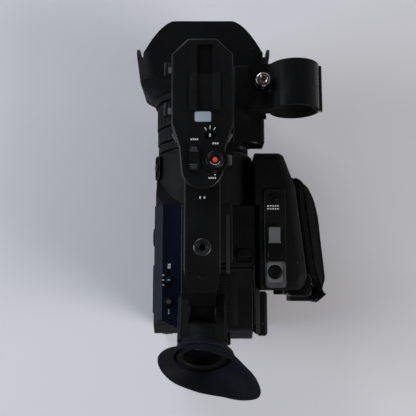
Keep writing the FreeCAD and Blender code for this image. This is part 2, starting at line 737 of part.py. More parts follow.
def lens_barrel():
    tube = join(rod("y", BARREL_NECK_R, LENS_AXIS, BARREL_REAR, BARREL_STEP),
                rod("y", BARREL_R, LENS_AXIS, BARREL_STEP, BARREL_FRONT),
                rod("y", FLANGE_R, LENS_AXIS, BARREL_FRONT - FLANGE_LENGTH, BARREL_FRONT))
    glass_rear = BARREL_FRONT - FILTER_DEPTH - GLASS_THICK
    return carve(tube, rod("y", BARREL_BORE_R, LENS_AXIS, 0, BARREL_FRONT),
                 rod("y", GLASS_R + RUN, LENS_AXIS, glass_rear, BARREL_FRONT),
                 rod("y", FILTER_R, LENS_AXIS, BARREL_FRONT - FILTER_DEPTH, BARREL_FRONT + 1))


def front_glass():
    high = BARREL_FRONT - FILTER_DEPTH
    disc = rod("y", GLASS_R, LENS_AXIS, high - GLASS_THICK + 0.1, high)
    dome = 75.0
    return disc.common(Part.makeSphere(dome, V(0, high - dome, LENS_Z)))


def lens_cell(centre, length):
    """Inner lens group in its sliding cell."""
    return rod("y", BARREL_BORE_R - RUN, LENS_AXIS, centre - length / 2, centre + length / 2)


def control_ring(radius, front, length):
    body = ring("y", radius, BARREL_R + RUN, LENS_AXIS, front - length, front)
    return bevel(body, 0.8, lambda edge: edge.BoundBox.XLength > 2 * radius - 0.1)


def at_nd(shape):
    return turned(shape, V(HOUSING_X, 0, LENS_Z), V(0, 1, 0), ND_ANGLE)


def nd_plate():
    """Raised surround of the filter switch."""
    low = HOUSING_X - HOUSING_R
    plate = pill("x", (ND_Y, LENS_Z), ND_SIZE, 3, low - ND_LIFT, low + 1)
    size = (ND_SIZE[0] - 2 * ND_RIM, ND_SIZE[1] - 2 * ND_RIM)
    well = pill("x", (ND_Y, LENS_Z), size, 2, low - ND_LIFT - 1, low - ND_LIFT + 1.2)
    plate = carve(plate, rod("y", HOUSING_R + 0.2, (HOUSING_X, LENS_Z), 0, HOUSING_FRONT + 20), well)
    return at_nd(plate)


def nd_switch():
    low = HOUSING_X - HOUSING_R - ND_LIFT
    size = (ND_SIZE[0] - 2 * ND_RIM - 2 * ND_TRAVEL - 2, ND_SIZE[1] - 2 * ND_RIM - 1)
    return at_nd(pill("x", (ND_Y, LENS_Z), size, 1.5, low - 1.4, low + 1.2 - SEAM))


# ================================================================ hood
def hood_outline(size, radius, y, inset=0.0):
    return rounded_outline("y", LENS_AXIS, (size[0] - 2 * inset, size[1] - 2 * inset), radius - inset, y)


def hood_loft(inset, rear, front):
    """Skin that leaves the round collar and spreads into the rectangle."""
    collar = (2 * COLLAR_R, 2 * COLLAR_R)
    round_corner = COLLAR_R - 0.5
    wires = [hood_outline(collar, round_corner, rear, inset)]
    steps = 4
    for step in range(1, steps + 1):
        share = math.sin(math.pi / 2 * step / steps)
        size = [low + (high - low) * share for low, high in zip(collar, HOOD_WAIST_SIZE)]
        radius = round_corner + (HOOD_WAIST_CORNER + 0.5 - COLLAR_R) * step / steps
        along_y = BARREL_FRONT + (HOOD_WAIST - BARREL_FRONT) * step / steps
        wires.append(hood_outline(size, radius, along_y, inset))
    wires.append(hood_outline(HOOD_FRONT_SIZE, HOOD_FRONT_CORNER, front, inset))
    return Part.makeLoft(wires, True, True)


def smooth_face(points, corners):
    """Face between a smooth line through the points and a straight path back."""
    curve = Part.BSplineCurve()
    curve.interpolate(points)
    path = [points[-1]] + corners + [points[0]]
    edges = [curve.toShape()] + [Part.makeLine(a, b) for a, b in zip(path, path[1:])]
    return Part.Face(Part.Wire(edges))


def petal_cut():
    """What is cut from the four corners, so that four petals reach further forward."""
    tools = []
    shoulder = HOOD_FRONT_SIZE[0] / 2
    fall = HOOD_FRONT - HOOD_CORNER_FRONT
    reach = HOOD_CORNER_AT - HOOD_PETAL
    shares = [(0.0, 0.0), (0.27, 0.16), (0.46, 0.36), (0.62, 0.58), (0.80, 0.84), (1.0, 1.0)]
    end = (shoulder + 0.8, HOOD_CORNER_FRONT + 2.8)
    beyond = HOOD_FRONT + 5
    for side in (1, -1):
        plan = [(HOOD_PETAL + reach * out, HOOD_FRONT - fall * back) for out, back in shares] + [end]
        top = smooth_face([V(side * x, y, 0) for x, y in plan],
                          [V(side * end[0], beyond, 0), V(side * HOOD_PETAL, beyond, 0)])
        tools.append(moved(top.extrude(V(0, 0, 100)), z=LENS_Z + HOOD_CORNER_Z))
        tools.append(moved(top.extrude(V(0, 0, 100)), z=LENS_Z - HOOD_CORNER_Z - 100))
        back = HOOD_SIDE_FRONT - HOOD_CORNER_FRONT
        half = [(0.43, 0.10), (0.74, 0.44), (1.0, 0.83), (1.26, 1.0)]
        rise = [(-height, share) for height, share in reversed(half)] + [(0.0, 0.0)] + half
        profile = [V(0, HOOD_SIDE_FRONT - back * share, LENS_Z + HOOD_CORNER_Z * height)
                   for height, share in rise]
        flank = smooth_face(profile, [V(0, beyond, profile[-1].z), V(0, beyond, profile[0].z)])
        near = HOOD_CORNER_AT - 5.5
        tools.append(moved(flank.extrude(V(60, 0, 0)), x=near if side > 0 else -near - 60))
    return tools


def lens_hood():
    outer = hood_loft(0.0, BARREL_FRONT, HOOD_FRONT)
    inner = hood_loft(HOOD_WALL, BARREL_FRONT, HOOD_FRONT)
    skin = carve(outer, inner, *petal_cut())
    rear = BARREL_FRONT - FLANGE_LENGTH + SEAM
    collar = ring("y", COLLAR_R - 0.3, FLANGE_R + RUN, LENS_AXIS, rear, BARREL_FRONT + 1.5)
    return join(skin, collar)


# ================================================================ handle
def handle_plan(grow=0.0):
    """Plan outline of the handle, which narrows to its neck."""
    half = HANDLE_HALF + grow
    neck = NECK_HALF + grow
    points = [(-half, LEG_FRONT), (-half, NECK_FRONT + 4), (-neck, NECK_FRONT - 18), (-neck, EVF_Y - 12)]
    points += [(-x, y) for x, y in reversed(points)]
    return prism("z", points, 100, 200)


def handle_frame():
    """Grip bar on two legs, with the barrel that the viewfinder turns on."""
    top = COVER_UNDER - SEAM
    half = HANDLE_HALF
    bar = prism("x", [(LEG_FRONT, HANDLE_UNDER), (LEG_FRONT, top), (NECK_FRONT + 2, top),
                      (NECK_FRONT - 2, top - 2), (EVF_Y + 8, EVF_Z + 15.7), (EVF_Y + 4, EVF_Z + 6),
                      (EVF_Y + 12, HANDLE_UNDER - 8), (NECK_FRONT - 6, HANDLE_UNDER)], -half, half)
    front_leg = prism("x", [(LEG_FRONT, HANDLE_UNDER), (LEG_FRONT, 100), (LEG_REAR + 6, 100),
                            (LEG_REAR + 6, 135), (LEG_REAR - 4, HANDLE_UNDER)], -half, half)
    seat = BODY_TOP + SEAM
    rear_leg = prism("x", [(EVF_Y + 24, HANDLE_UNDER), (EVF_Y + 19, EVF_Z + 4), (EVF_Y + 19, seat),
                           (EVF_Y + 2, seat), (EVF_Y, EVF_Z), (EVF_Y + 10, HANDLE_UNDER - 2)],
                     -NECK_HALF, NECK_HALF)
    barrel = rod("x", EVF_BARREL_R, (EVF_Y, EVF_Z), -NECK_HALF, NECK_HALF)
    frame = join(join(bar, front_leg).common(handle_plan()), rear_leg, barrel)
    return carve(frame, rod("y", HOUSING_R + SEAM, (HOUSING_X, LENS_Z), 0, 2 * HOUSING_FRONT),
                 rod("x", EVF_PIN_R + 0.05, (EVF_Y, EVF_Z), -30, 30),
                 rod("z", SOCKET_RIM_R + RUN, (0, SOCKET_Y), top - SOCKET_DEPTH + COVER_THICK, 200),
                 rod("z", SCREW_R + RUN, (0, HANDLE_SCREW_Y), top - 10, 200))


def handle_cover():
    side = [(LEG_FRONT, COVER_UNDER), (LEG_FRONT, HANDLE_TOP), (NECK_FRONT - 2, HANDLE_TOP),
            (NECK_FRONT - 14, HANDLE_TOP - 3.5), (EVF_Y + 6, EVF_Z + 20), (EVF_Y + 4.5, EVF_Z + 14),
            (EVF_Y + 8, EVF_Z + 16), (NECK_FRONT - 2, COVER_UNDER - 2), (NECK_FRONT + 2, COVER_UNDER)]
    cover = prism("x", side, -2 * HANDLE_HALF, 2 * HANDLE_HALF).common(handle_plan())
    edge_x = (HANDLE_HALF, NECK_HALF)
    cover = bevel(cover, COVER_BEVEL, lambda edge: edge_is_rim(edge, edge_x))
    return carve(cover, rod("z", SOCKET_RIM_R + RUN, (0, SOCKET_Y), 100, 200),
                 rod("z", SCREW_R + RUN, (0, HANDLE_SCREW_Y), 100, 200),
                 rod("z", SCREW_HEAD_R + RUN, (0, HANDLE_SCREW_Y), HANDLE_TOP - 3.4, 200))


def edge_is_rim(edge, half_widths):
    """Test for the long top edges of the handle cover."""
    bounds = edge.BoundBox
    outer = max(abs(bounds.XMin), abs(bounds.XMax))
    flat = bounds.XLength < 0.01 and any(abs(outer - half) < 0.01 for half in half_widths)
    return flat and bounds.YLength > 5 and bounds.ZMin > HANDLE_TOP - 0.01


def handle_socket():
    low = COVER_UNDER - SEAM - SOCKET_DEPTH + COVER_THICK
    rim = rod("z", SOCKET_RIM_R, (0, SOCKET_Y), low, HANDLE_TOP + 0.5)
    rim = bevel(rim, 0.6, level("z", HANDLE_TOP + 0.5))
    return rim.cut(rod("z", SOCKET_R, (0, SOCKET_Y), low - 1, HANDLE_TOP + 1))


def handle_screw():
    head = rod("z", SCREW_HEAD_R, (0, HANDLE_SCREW_Y), HANDLE_TOP - 3.3, HANDLE_TOP - 2.0)
    screw = join(head, rod("z", SCREW_R, (0, HANDLE_SCREW_Y), COVER_UNDER - 9, HANDLE_TOP - 2.5))
    slot = box((-2, 2), (HANDLE_SCREW_Y - 0.4, HANDLE_SCREW_Y + 0.4), (HANDLE_TOP - 2.6, HANDLE_TOP))
    return screw.cut(slot)


# ================================================================ control head
def head_plan(inset=0.0, rear=None):
    """Plan outline of the head: eight corners and a round tail."""
    half = HEAD_HALF
    sides = [(TAIL_HALF, TAIL_END + TAIL_HALF), (TAIL_HALF + 1.5, 36.0), (half, HEAD_TAPER),
             (half, HEAD_FRONT - HEAD_CORNER), (half - HEAD_CORNER, HEAD_FRONT)]
    right = [V(x, y, 0) for x, y in sides]
    left = [V(-x, y, 0) for x, y in reversed(sides)]
    path = right + left
    edges = [Part.makeLine(a, b) for a, b in zip(path, path[1:])]
    edges.append(Part.Arc(left[-1], V(0, TAIL_END, 0), right[0]).toShape())
    wire = Part.Wire(edges)
    return wire.makeOffset2D(-inset, 0) if inset else wire


def head_block(low, high, inset=0.0):
    return moved(extrude(head_plan(inset), "z", 0, high - low), z=low)


def head_lower():
    behind = box((-60, 60), (-60, LEG_FRONT + SEAM), (0, 300))
    block = bevel(head_block(HEAD_UNDER, HEAD_SPLIT), 1.2, level("z", HEAD_UNDER)).cut(behind)
    behind = box((-60, 60), (-60, LEG_FRONT + SEAM + WALL), (0, 300))
    pocket = head_block(HEAD_UNDER + WALL, HEAD_SPLIT + 1, WALL).cut(behind)
    pillar = box((SHOE_X - 6, SHOE_X + 6), (SHOE_REAR, SHOE_REAR + SHOE_LENGTH), (HEAD_UNDER, HEAD_SPLIT))
    return join(block.cut(pocket), pillar)


def head_upper():
    """Top of the head, with the wells of its keys, the shoe and the inset plate."""
    block = soften(head_block(HEAD_SPLIT + SEAM, HEAD_TOP), 2.0, level("z", HEAD_TOP))
    floor = HEAD_TOP - KEY_DEPTH
    top = HEAD_TOP + 1
    front = SHOE_REAR + SHOE_LENGTH
    half = SHOE_WIDTH / 2 + SEAM
    shoe = box((SHOE_X - half, SHOE_X + half), (SHOE_REAR - SEAM, front + SEAM), (floor, top))
    lead = box((SHOE_X - SHOE_MOUTH / 2, SHOE_X + SHOE_MOUTH / 2), (front, front + SHOE_LEAD),
               (floor + SHOE_FLOOR, top))
    rocker_room = (ROCKER_SIZE[0] + 2 * KEY_GAP, ROCKER_SIZE[1] + 2 * KEY_GAP)
    speed_room = (SPEED_SIZE[0] + 2 * KEY_GAP, SPEED_SIZE[1] + 2 * KEY_GAP)
    return carve(block, shoe, lead,
                 pill("z", (ROCKER_X, ROCKER_Y), rocker_room, 4, floor, top),
                 rod("z", LEVER_R + KEY_GAP, (REC_X, REC_Y), floor, top),
                 pill("z", (SPEED_X, SPEED_Y), speed_room, 2, floor, top),
                 pill("z", INSET_PLACE, INSET_SIZE, 1, HEAD_TOP - INSET_DEPTH, top))


def accessory_shoe():
    low = HEAD_TOP - KEY_DEPTH + 0.1
    half = SHOE_WIDTH / 2
    wall = SHOE_SLOT / 2
    lip = SHOE_MOUTH / 2
    under = low + SHOE_FLOOR + SHOE_CLEAR
    top = under + SHOE_LIP
    points = [(-half, low), (half, low), (half, top), (lip, top), (lip, under), (wall, under),
              (wall, low + SHOE_FLOOR), (-wall, low + SHOE_FLOOR), (-wall, under), (-lip, under), (-lip, top),
              (-half, top)]
    return prism("y", [(SHOE_X + x, z) for x, z in points], SHOE_REAR, SHOE_REAR + SHOE_LENGTH)


def rocker(centre, size, floor, top, radius):
    """Key that rocks on a ridge under its middle."""
    lift = ROCKER_LIFT
    key = bevel(pill("z", centre, size, radius, floor + lift, top), 0.6, level("z", top))
    half = size[0] / 2 - 2
    ridge = rod("x", lift - SEAM, (centre[1], floor + lift), centre[0] - half, centre[0] + half)
    dish = rod("x", DISH_R, (centre[1], top + DISH_R - 1), centre[0] - size[0], centre[0] + size[0])
    return join(key, ridge).cut(dish)


def record_button():
    top = HEAD_TOP + REC_PROUD
    button = rod("z", REC_R, (REC_X, REC_Y), HEAD_TOP - KEY_DEPTH + 1.9, top)
    dish = Part.makeSphere(30.0, V(REC_X, REC_Y, top + 29.2))
    return bevel(button, 0.5, level("z", top)).cut(dish)


def hold_lever():
    """Ring round the record button, with the tab that turns it."""
    floor = HEAD_TOP - KEY_DEPTH + SEAM
    collar = ring("z", LEVER_R, REC_R + KEY_GAP, (REC_X, REC_Y), floor, HEAD_TOP + 0.8)
    tab = box((REC_X - 1.6, REC_X + 1.6), (REC_Y - LEVER_R - 1.2, REC_Y - REC_R - 1),
              (HEAD_TOP + 0.2, HEAD_TOP + 2.2))
    return join(collar, tab)


def speed_switch():
    top = HEAD_TOP + SPEED_PROUD
    size = (SPEED_SIZE[0] - 2 * SPEED_TRAVEL - 0.4, SPEED_SIZE[1] - 0.4)
    knob = pill("z", (SPEED_X, SPEED_Y), size, 1, HEAD_TOP - KEY_DEPTH + SEAM, top)
    return bevel(knob, 0.4, level("z", top))


def side_switch():
    face = HANDLE_HALF + SEAM
    ys = (SIDE_Y - SIDE_LENGTH / 2, SIDE_Y + SIDE_LENGTH / 2)
    return bevel(box((face, face + SIDE_PROUD), ys, SIDE_Z), 0.7, level("x", face + SIDE_PROUD))


# ================================================================ monitor
def monitor_hinge():
    """Fixed knuckles with their pins, and the leaf that carries them."""
    pieces = []
    leaf_z = (HEAD_UNDER + 1.5, HEAD_UNDER + 4.5)
    for y in KNUCKLES:
        ys = (y - KNUCKLE_LENGTH / 2, y)
        knuckle = rod("y", KNUCKLE_R, LCD_AXIS, *ys)
        pin = rod("y", PIN_R, LCD_AXIS, y - 1, y + KNUCKLE_LENGTH / 2)
        leaf = box((LCD_AXIS_X, -HEAD_HALF - 0.2), ys, leaf_z)
        post = box((LCD_AXIS_X - 1.5, LCD_AXIS_X + 1.5), ys, (LCD_AXIS_Z, leaf_z[1]))
        pieces.append(join(knuckle, pin, leaf, post))
    return pieces


def monitor_arm():
    """Moving knuckles, each with the web that carries the panel."""
    near = LCD_NEAR - SEAM
    pieces = []
    for y in KNUCKLES:
        ys = (y + SEAM, y + KNUCKLE_LENGTH / 2)
        knuckle = rod("y", KNUCKLE_R, LCD_AXIS, *ys)
        web = prism("y", [(LCD_AXIS_X - KNUCKLE_R + 0.3, LCD_AXIS_Z), (LCD_AXIS_X - 1, LCD_UNDER + 2.5),
                          (near, LCD_UNDER + 1), (near, LCD_UNDER + 6), (LCD_AXIS_X + 1.5, LCD_AXIS_Z)], *ys)
        pieces.append(join(knuckle, web).cut(rod("y", PIN_R + RUN, LCD_AXIS, y - 1, ys[1] + 1)))
    return pieces


def screen_room(border):
    """Span across and along the panel, inside its border."""
    return (LCD_NEAR + border, LCD_NEAR + LCD_WIDTH - border), (LCD_REAR + border, LCD_FRONT - border)


def monitor_panel():
    centre = (LCD_NEAR + LCD_WIDTH / 2, LCD_UNDER + LCD_THICK / 2)
    panel = pill("y", centre, (LCD_WIDTH, LCD_THICK), 1.5, LCD_REAR, LCD_FRONT)
    return panel.cut(box(*screen_room(LCD_BORDER), (LCD_UNDER + LCD_THICK - 1.5, HEAD_UNDER)))


def monitor_screen():
    top = LCD_UNDER + LCD_THICK
    return box(*screen_room(LCD_BORDER + 0.1), (top - 1.4, top - 0.3))


# ================================================================ audio block and microphone holder
def audio_block():
    """Block with the front XLR socket, on the root that joins it to the handle."""
    size = (AUDIO_X[1] - AUDIO_X[0], AUDIO_Z[1] - AUDIO_Z[0])
    block = bevel(pill("y", XLR_FRONT, size, 3, *AUDIO_Y), 1.0, level("y", AUDIO_Y[1]))
    root = box((HANDLE_HALF + SEAM, AUDIO_X[0] + 3), (LEG_FRONT - 16, AUDIO_Y[0] + 12),
               (AUDIO_Z[0] + 6, AUDIO_Z[1] - 2))
    nose_centre = (XLR_FRONT[0], AUDIO_Z[1] - NOSE_THICK / 2)
    nose = pill("y", nose_centre, (size[0], NOSE_THICK), 3, AUDIO_Y[1] - 4, NOSE_FRONT)
    nose = bevel(nose, 1.0, level("y", NOSE_FRONT))
    socket = rod("y", XLR_R + 1.0 + RUN, XLR_FRONT, AUDIO_Y[0] - 1, AUDIO_Y[0] + XLR_DEPTH + SEAM)
    behind = box((AUDIO_X[0] - 0.1, AUDIO_X[1]), (0, AUDIO_Y[0]), (100, 170))
    return join(block, nose, root.cut(behind)).cut(socket)


def hinge_spans():
    third = (MIC_FRONT - MIC_REAR) / 3
    low = (MIC_REAR, MIC_REAR + third)
    middle = (MIC_REAR + third + SEAM, MIC_FRONT - third - SEAM)
    high = (MIC_FRONT - third, MIC_FRONT)
    return low, middle, high


def clamp_band(flange_low, flange_high):
    flange = box((FLANGE_LEFT, MIC_X), (MIC_REAR, MIC_FRONT), (flange_low, flange_high))
    band = rod("y", MIC_OUTER_R, MIC_AXIS, MIC_REAR, MIC_FRONT)
    return join(flange, band)


def clamp_half(upper):
    """One half of the microphone clamp, with its share of the hinge."""
    reach = 4 * MIC_OUTER_R
    if upper:
        split = MIC_Z + CLAMP_SPLIT
        heights = (split, split + reach)
        band = clamp_band(split, split + FLANGE_THICK)
        corner = level("z", split + FLANGE_THICK)
        band = soften(band, BAND_BLEND, lambda edge: along("y")(edge) and corner(edge)
                      and edge.BoundBox.XMin > FLANGE_LEFT + 1)
    else:
        split = MIC_Z - CLAMP_SPLIT
        heights = (split - reach, split)
        band = clamp_band(split - FLANGE_THICK, split)
    keep = box((FLANGE_LEFT - 1, HINGE_X), (MIC_REAR, MIC_FRONT), heights)
    half = band.common(keep).cut(rod("y", MIC_OUTER_R - MIC_WALL, MIC_AXIS, MIC_REAR - 1, MIC_FRONT + 1))
    low, middle, high = hinge_spans()
    own, other = ((low, high), (middle,)) if upper else ((middle,), (low, high))
    hinge = (HINGE_X, MIC_Z)
    for span in other:
        half = half.cut(rod("y", HINGE_R + 0.4, hinge, span[0] - 1, span[1] + 1))
    half = join(half, *[rod("y", HINGE_R, hinge, *span) for span in own])
    return half.cut(rod("y", PIN_R + (RUN if upper else 0.05), hinge, MIC_REAR - 1, MIC_FRONT + 1))


def clamp_lower():
    return clamp_half(False).cut(rod("z", STUD_R + RUN, (KNOB_X, KNOB_Y), 0, MIC_Z + 1))


def clamp_upper():
    seat = MIC_Z + CLAMP_SPLIT + FLANGE_THICK
    return carve(clamp_half(True), rod("z", STUD_R + RUN, (KNOB_X, KNOB_Y), MIC_Z - 1, seat + 1),
                 rod("z", KNOB_R + KEY_GAP, (KNOB_X, KNOB_Y), seat, seat + 2 * KNOB_HEIGHT))


def clamp_pin():
    return rod("y", PIN_R, (HINGE_X, MIC_Z), MIC_REAR, MIC_FRONT)


def clamp_liner(upper):
    outer = MIC_OUTER_R - MIC_WALL - 0.1
    liner = ring("y", outer, outer - MIC_LINER, MIC_AXIS, MIC_REAR + 1, MIC_FRONT - 1)
    split = CLAMP_SPLIT + 0.2
    if upper:
        return liner.common(box((0, 200), (0, 200), (MIC_Z + split, 300)))
    return liner.common(box((0, 200), (0, 200), (0, MIC_Z - split)))


def clamp_knob():
    """Knob with a six-sided socket, on a captive screw that ends at the clamp's split."""
    low = MIC_Z + CLAMP_SPLIT + FLANGE_THICK + 0.2
    top = low + KNOB_HEIGHT
    knob = bevel(rod("z", KNOB_R, (KNOB_X, KNOB_Y), low, top), 0.9, level("z", top))
    stud = rod("z", STUD_R, (KNOB_X, KNOB_Y), MIC_Z + CLAMP_SPLIT + 0.2, low + 1)
    turns = [math.radians(angle) for angle in range(0, 360, 60)]
    hexagon = [(KNOB_X + HEX_R * math.cos(turn), KNOB_Y + HEX_R * math.sin(turn)) for turn in turns]
    return join(knob, stud).cut(prism("z", hexagon, top - 3, top + 1))


# ================================================================ hand grip
def grip_block(low, high, grow=0.0):
    inner = BODY_RIGHT + SEAM
    ahead = HOUSING_X + HOUSING_R + 2 * SEAM
    corners = [(inner, GRIP_REAR[1]), (inner, BODY_FRONT + 2 * SEAM), (ahead, BODY_FRONT + 2 * SEAM),
               (ahead, GRIP_FRONT[1]), GRIP_FRONT, GRIP_SHOULDER, GRIP_WIDEST, GRIP_REAR]
    wire = outline("z", corners, low)
    return extrude(wire.makeOffset2D(grow, 2) if grow else wire, "z", low, high)


def plate_block(low, high, grow=0.0):
    centre = ((PLATE_X[0] + PLATE_X[1]) / 2, (PLATE_Y[0] + PLATE_Y[1]) / 2)
    size = (PLATE_X[1] - PLATE_X[0] + 2 * grow, PLATE_Y[1] - PLATE_Y[0] + 2 * grow)
    return pill("z", centre, size, 3, low, high)


def at_right_edges(axis, value, beyond):
    """Test for edges in one plane that reach right of a place."""
    return lambda edge: level(axis, value)(edge) and edge.BoundBox.XMax > beyond


def grip_shell():
    """Hollow grip with the recess of the top plate and the hole of the thumb button."""
    block = soften(grip_block(GRIP_FLOOR, GRIP_TOP), 7.0,
                   lambda edge: along("z")(edge) and edge.BoundBox.XMin > BODY_RIGHT + 10)
    block = soften(block, 3.0, at_right_edges("z", GRIP_FLOOR, BODY_RIGHT + 2))
    shoulder = at_right_edges("z", GRIP_TOP, BODY_RIGHT + 2)
    seat = box((BODY_RIGHT, PLATE_X[1] + 2), (GRIP_REAR[1] - 1, PLATE_Y[0] + 14), (0, GRIP_TOP))
    block = join(soften(block, GRIP_ROUND, shoulder), soften(block, 4.0, shoulder).common(seat))
    hollow = grip_block(GRIP_FLOOR + GRIP_WALL, PLATE_FLOOR - GRIP_WALL, -GRIP_WALL)
    rear = GRIP_REAR[1]
    return carve(block, hollow, plate_block(PLATE_FLOOR, GRIP_TOP + 5, 0.2),
                 rod("y", THUMB_R + KEY_GAP, (THUMB_X, THUMB_Z), rear - 10, rear + 14))


def grip_plate():
    plate = bevel(plate_block(PLATE_FLOOR + 0.1, PLATE_TOP), 0.6, level("z", PLATE_TOP))
    through = (PLATE_FLOOR - 10, PLATE_TOP + 10)
    seesaw_room = (SEESAW_SIZE[0] + 2 * KEY_GAP, SEESAW_SIZE[1] + 2 * KEY_GAP)
    return carve(plate, pill("z", (SEESAW_X, SEESAW_Y), seesaw_room, 2, *through),
                 rod("z", ASSIST_R + KEY_GAP, (SEESAW_X, ASSIST_Y), *through),
                 rod("z", FUNCTION_R + KEY_GAP, (SEESAW_X, FUNCTION_Y), *through))


def grip_button(radius, y, top):
    button = rod("z", radius, (SEESAW_X, y), PLATE_FLOOR + 1.6, top)
    return bevel(button, 0.5, level("z", top))


def thumb_button():
    rear = GRIP_REAR[1]
    button = rod("y", THUMB_R, (THUMB_X, THUMB_Z), rear - 4, rear + GRIP_WALL)
    return bevel(button, 0.8, level("y", rear - 4))


def band(points, thickness, z):
    """Outline of a flat strip that follows the points."""
    left, right = [], []
    for index, (x, y) in enumerate(points):
        ahead = points[min(index + 1, len(points) - 1)]
        behind = points[max(index - 1, 0)]
        dx, dy = ahead[0] - behind[0], ahead[1] - behind[1]
        span = math.hypot(dx, dy)
        nx, ny = -dy / span * thickness / 2, dx / span * thickness / 2
        left.append(V(x + nx, y + ny, z))
        right.append(V(x - nx, y - ny, z))
    corners = left + right[::-1]
    return Part.makePolygon(corners + corners[:1])


def hand_strap():
    """Strap on edge: its lower edge stands off, and its upper edge leans to the grip."""
    wires = [band(STRAP_LOW, STRAP_THICK, STRAP_Z[0]), band(STRAP_HIGH, STRAP_THICK, STRAP_Z[1])]
    return Part.makeLoft(wires, True, True)


def strap_anchors():
    """Lugs on the grip that the strap's two ends go to."""
    keep_off = grip_block(0, 200, SEAM)
    middle = (STRAP_Z[0] + STRAP_Z[1]) / 2
    zs = (middle - 14, middle + 14)
    front_x = STRAP_LOW[0][0] - SEAM - 0.8
    rear_x = STRAP_LOW[-1][0] - SEAM - 2.4
    front = box((GRIP_FRONT[0] + 2, front_x), (22.5, 31.5), zs).cut(keep_off)
    rear = join(box((80.0, rear_x), (-84.0, -76.0), zs),
                box((GRIP_REAR[0] + 1, rear_x), (-76.0, -69.0), zs)).cut(keep_off)
    return [front, rear]


# ================================================================ terminal block
def terminal_block():
    block = box(TERM_X, TERM_Y, TERM_Z)
    block = bevel(block, 2.0, lambda edge: edge.BoundBox.XMin > TERM_X[1] - 0.01)
    for z in TERM_JACKS_Z:
        middle = ((TERM_X[0] + TERM_X[1]) / 2, z)
        block = block.cut(rod("y", TERM_JACK_R, middle, TERM_Y[0] - 1, TERM_Y[0] + 10))
    return block


# ================================================================ viewfinder
def at_evf(shape):
    """From the hinge's own frame, with the tube level and rearward, to its place at rest."""
    return moved(turned(shape, V(0, 0, 0), V(1, 0, 0), -EVF_REST), y=EVF_Y, z=EVF_Z)


def evf_body():
    """Viewfinder tube: two cheeks at the hinge, and a collar round the eyepiece."""
    half = EVF_THICK / 2
    body = join(box((-EVF_HALF, EVF_HALF), (-EVF_COLLAR, 0), (-half, half)),
                rod("x", half, (0, 0), -EVF_HALF, EVF_HALF))
    body = bevel(body, 2.0, lambda edge: along("y")(edge) and edge.BoundBox.YLength > 20)
    slot = box((-EVF_SLOT, EVF_SLOT), (-EVF_BLOCK, 2 * half), (-2 * half, 2 * half))
    ramps = [prism("x", [(-EVF_BLOCK + 1, side * 8), (-EVF_BLOCK + 1, side * (half + 1)),
                         (-EVF_BLOCK - 7, side * (half + 1))], -EVF_SLOT, EVF_SLOT) for side in (1, -1)]
    collar = rod("y", EYE_R, (0, 0), -EVF_END, -EVF_COLLAR)
    bore = rod("y", EYE_BORE_R, (0, 0), -EVF_END - 1, -EVF_COLLAR + DISPLAY_DEPTH)
    pin_hole = rod("x", EVF_PIN_R + RUN, (0, 0), -30, 30)
    return at_evf(carve(join(body, collar), slot, bore, pin_hole, *ramps))


def evf_pin():
    return rod("x", EVF_PIN_R, (EVF_Y, EVF_Z), -EVF_HALF + 0.5, EVF_HALF - 0.5)


def evf_display():
    low = -EVF_COLLAR + DISPLAY_DEPTH - 0.1
    return at_evf(rod("y", EYE_BORE_R - 0.1, (0, 0), low - 2, low))


def eyepiece_lens():
    disc = rod("y", EYE_BORE_R - 0.1, (0, 0), -EVF_END + 2, -EVF_END + 8)
    return at_evf(disc.common(Part.makeSphere(40.0, V(0, -EVF_END + 2.5 + 40, 0))))


def diopter_dial():
    wheel = rod("x", DIOPTER_R, (DIOPTER_Y, 0), EVF_HALF + SEAM, EVF_HALF + 3)
    return at_evf(bevel(wheel, 0.5, level("x", EVF_HALF + 3)))


def closed_curve(points):
    curve = Part.BSplineCurve()
    curve.interpolate(points, PeriodicFlag=True)
    return Part.Wire(curve.toShape())


def cup_skin(inset, deeper):
    """Loft from the collar to the leaning, lobed rim."""
    start = EVF_END - 5.0
    radius = EYE_R + CUP_WALL + RUN - inset
    collar, rim = [], []
    for x, z in CUP_RIM:
        reach = math.hypot(x, z)
        collar.append(V(radius * x / reach, -start + deeper, radius * z / reach))
        share = (reach - inset) / reach
        depth = EVF_END + CUP_DEPTH + CUP_LEAN[0] * x * share + CUP_LEAN[1] * z * share + deeper
        rim.append(V(x * share, -depth, z * share))
    return Part.makeLoft([closed_curve(collar), closed_curve(rim)], True, True)


def eyecup():
    outer = cup_skin(0.0, 0.0)
    inner = cup_skin(CUP_WALL, 0.05)
    return at_evf(outer.cut(inner).cut(rod("y", EYE_R + RUN, (0, 0), -EVF_END - 2, -EVF_COLLAR + 5)))


# ================================================================ all parts
def body_parts():
    body = split_body()
    save("base_cover", base_cover(body["base"]))
    save("rear_cover", rear_cover(body["rear"]))
    save("left_cover", left_cover(body["left"]))
    save("top_cover", body["top"])
    save("right_cover", right_cover(body["right"]))
    save("rubber_feet", *feet())
    save("screws", *base_screws(), handle_screw())
    save("threaded_inserts", tripod_plate(), handle_socket())
    save("card_door", card_door())
    save("audio_slider", slider_knob())
    save("user_button", user_button())
    save("menu_dial", menu_dial())
    save("battery_release", battery_release())
    save("battery_bay", battery_bay(), battery_terminal())
    save("battery_pack", battery_pack())
    save("terminal_block", terminal_block())
    save("rear_sockets", *rear_terminals(), xlr_socket(XLR_REAR, BODY_REAR - 0.5, WALL))
    save("main_board", main_board(), card_slots())
    save("cooling_unit", heat_sink(), fan_frame())
    save("fan_rotor", fan_rotor())
    save("sensor_unit", sensor_unit())


def lens_parts():
    save("lens_housing", lens_housing(), nd_plate())
    save("nd_switch", nd_switch())
    save("lens_barrel", lens_barrel())
    save("lens_glass", front_glass(), lens_cell(BARREL_REAR + 8, 8))
    save("zoom_cell", lens_cell(CELL_Y, CELL_LENGTH))
    for name, sizes in RINGS.items():
        save(name, control_ring(*sizes))
    save("lens_hood", lens_hood())


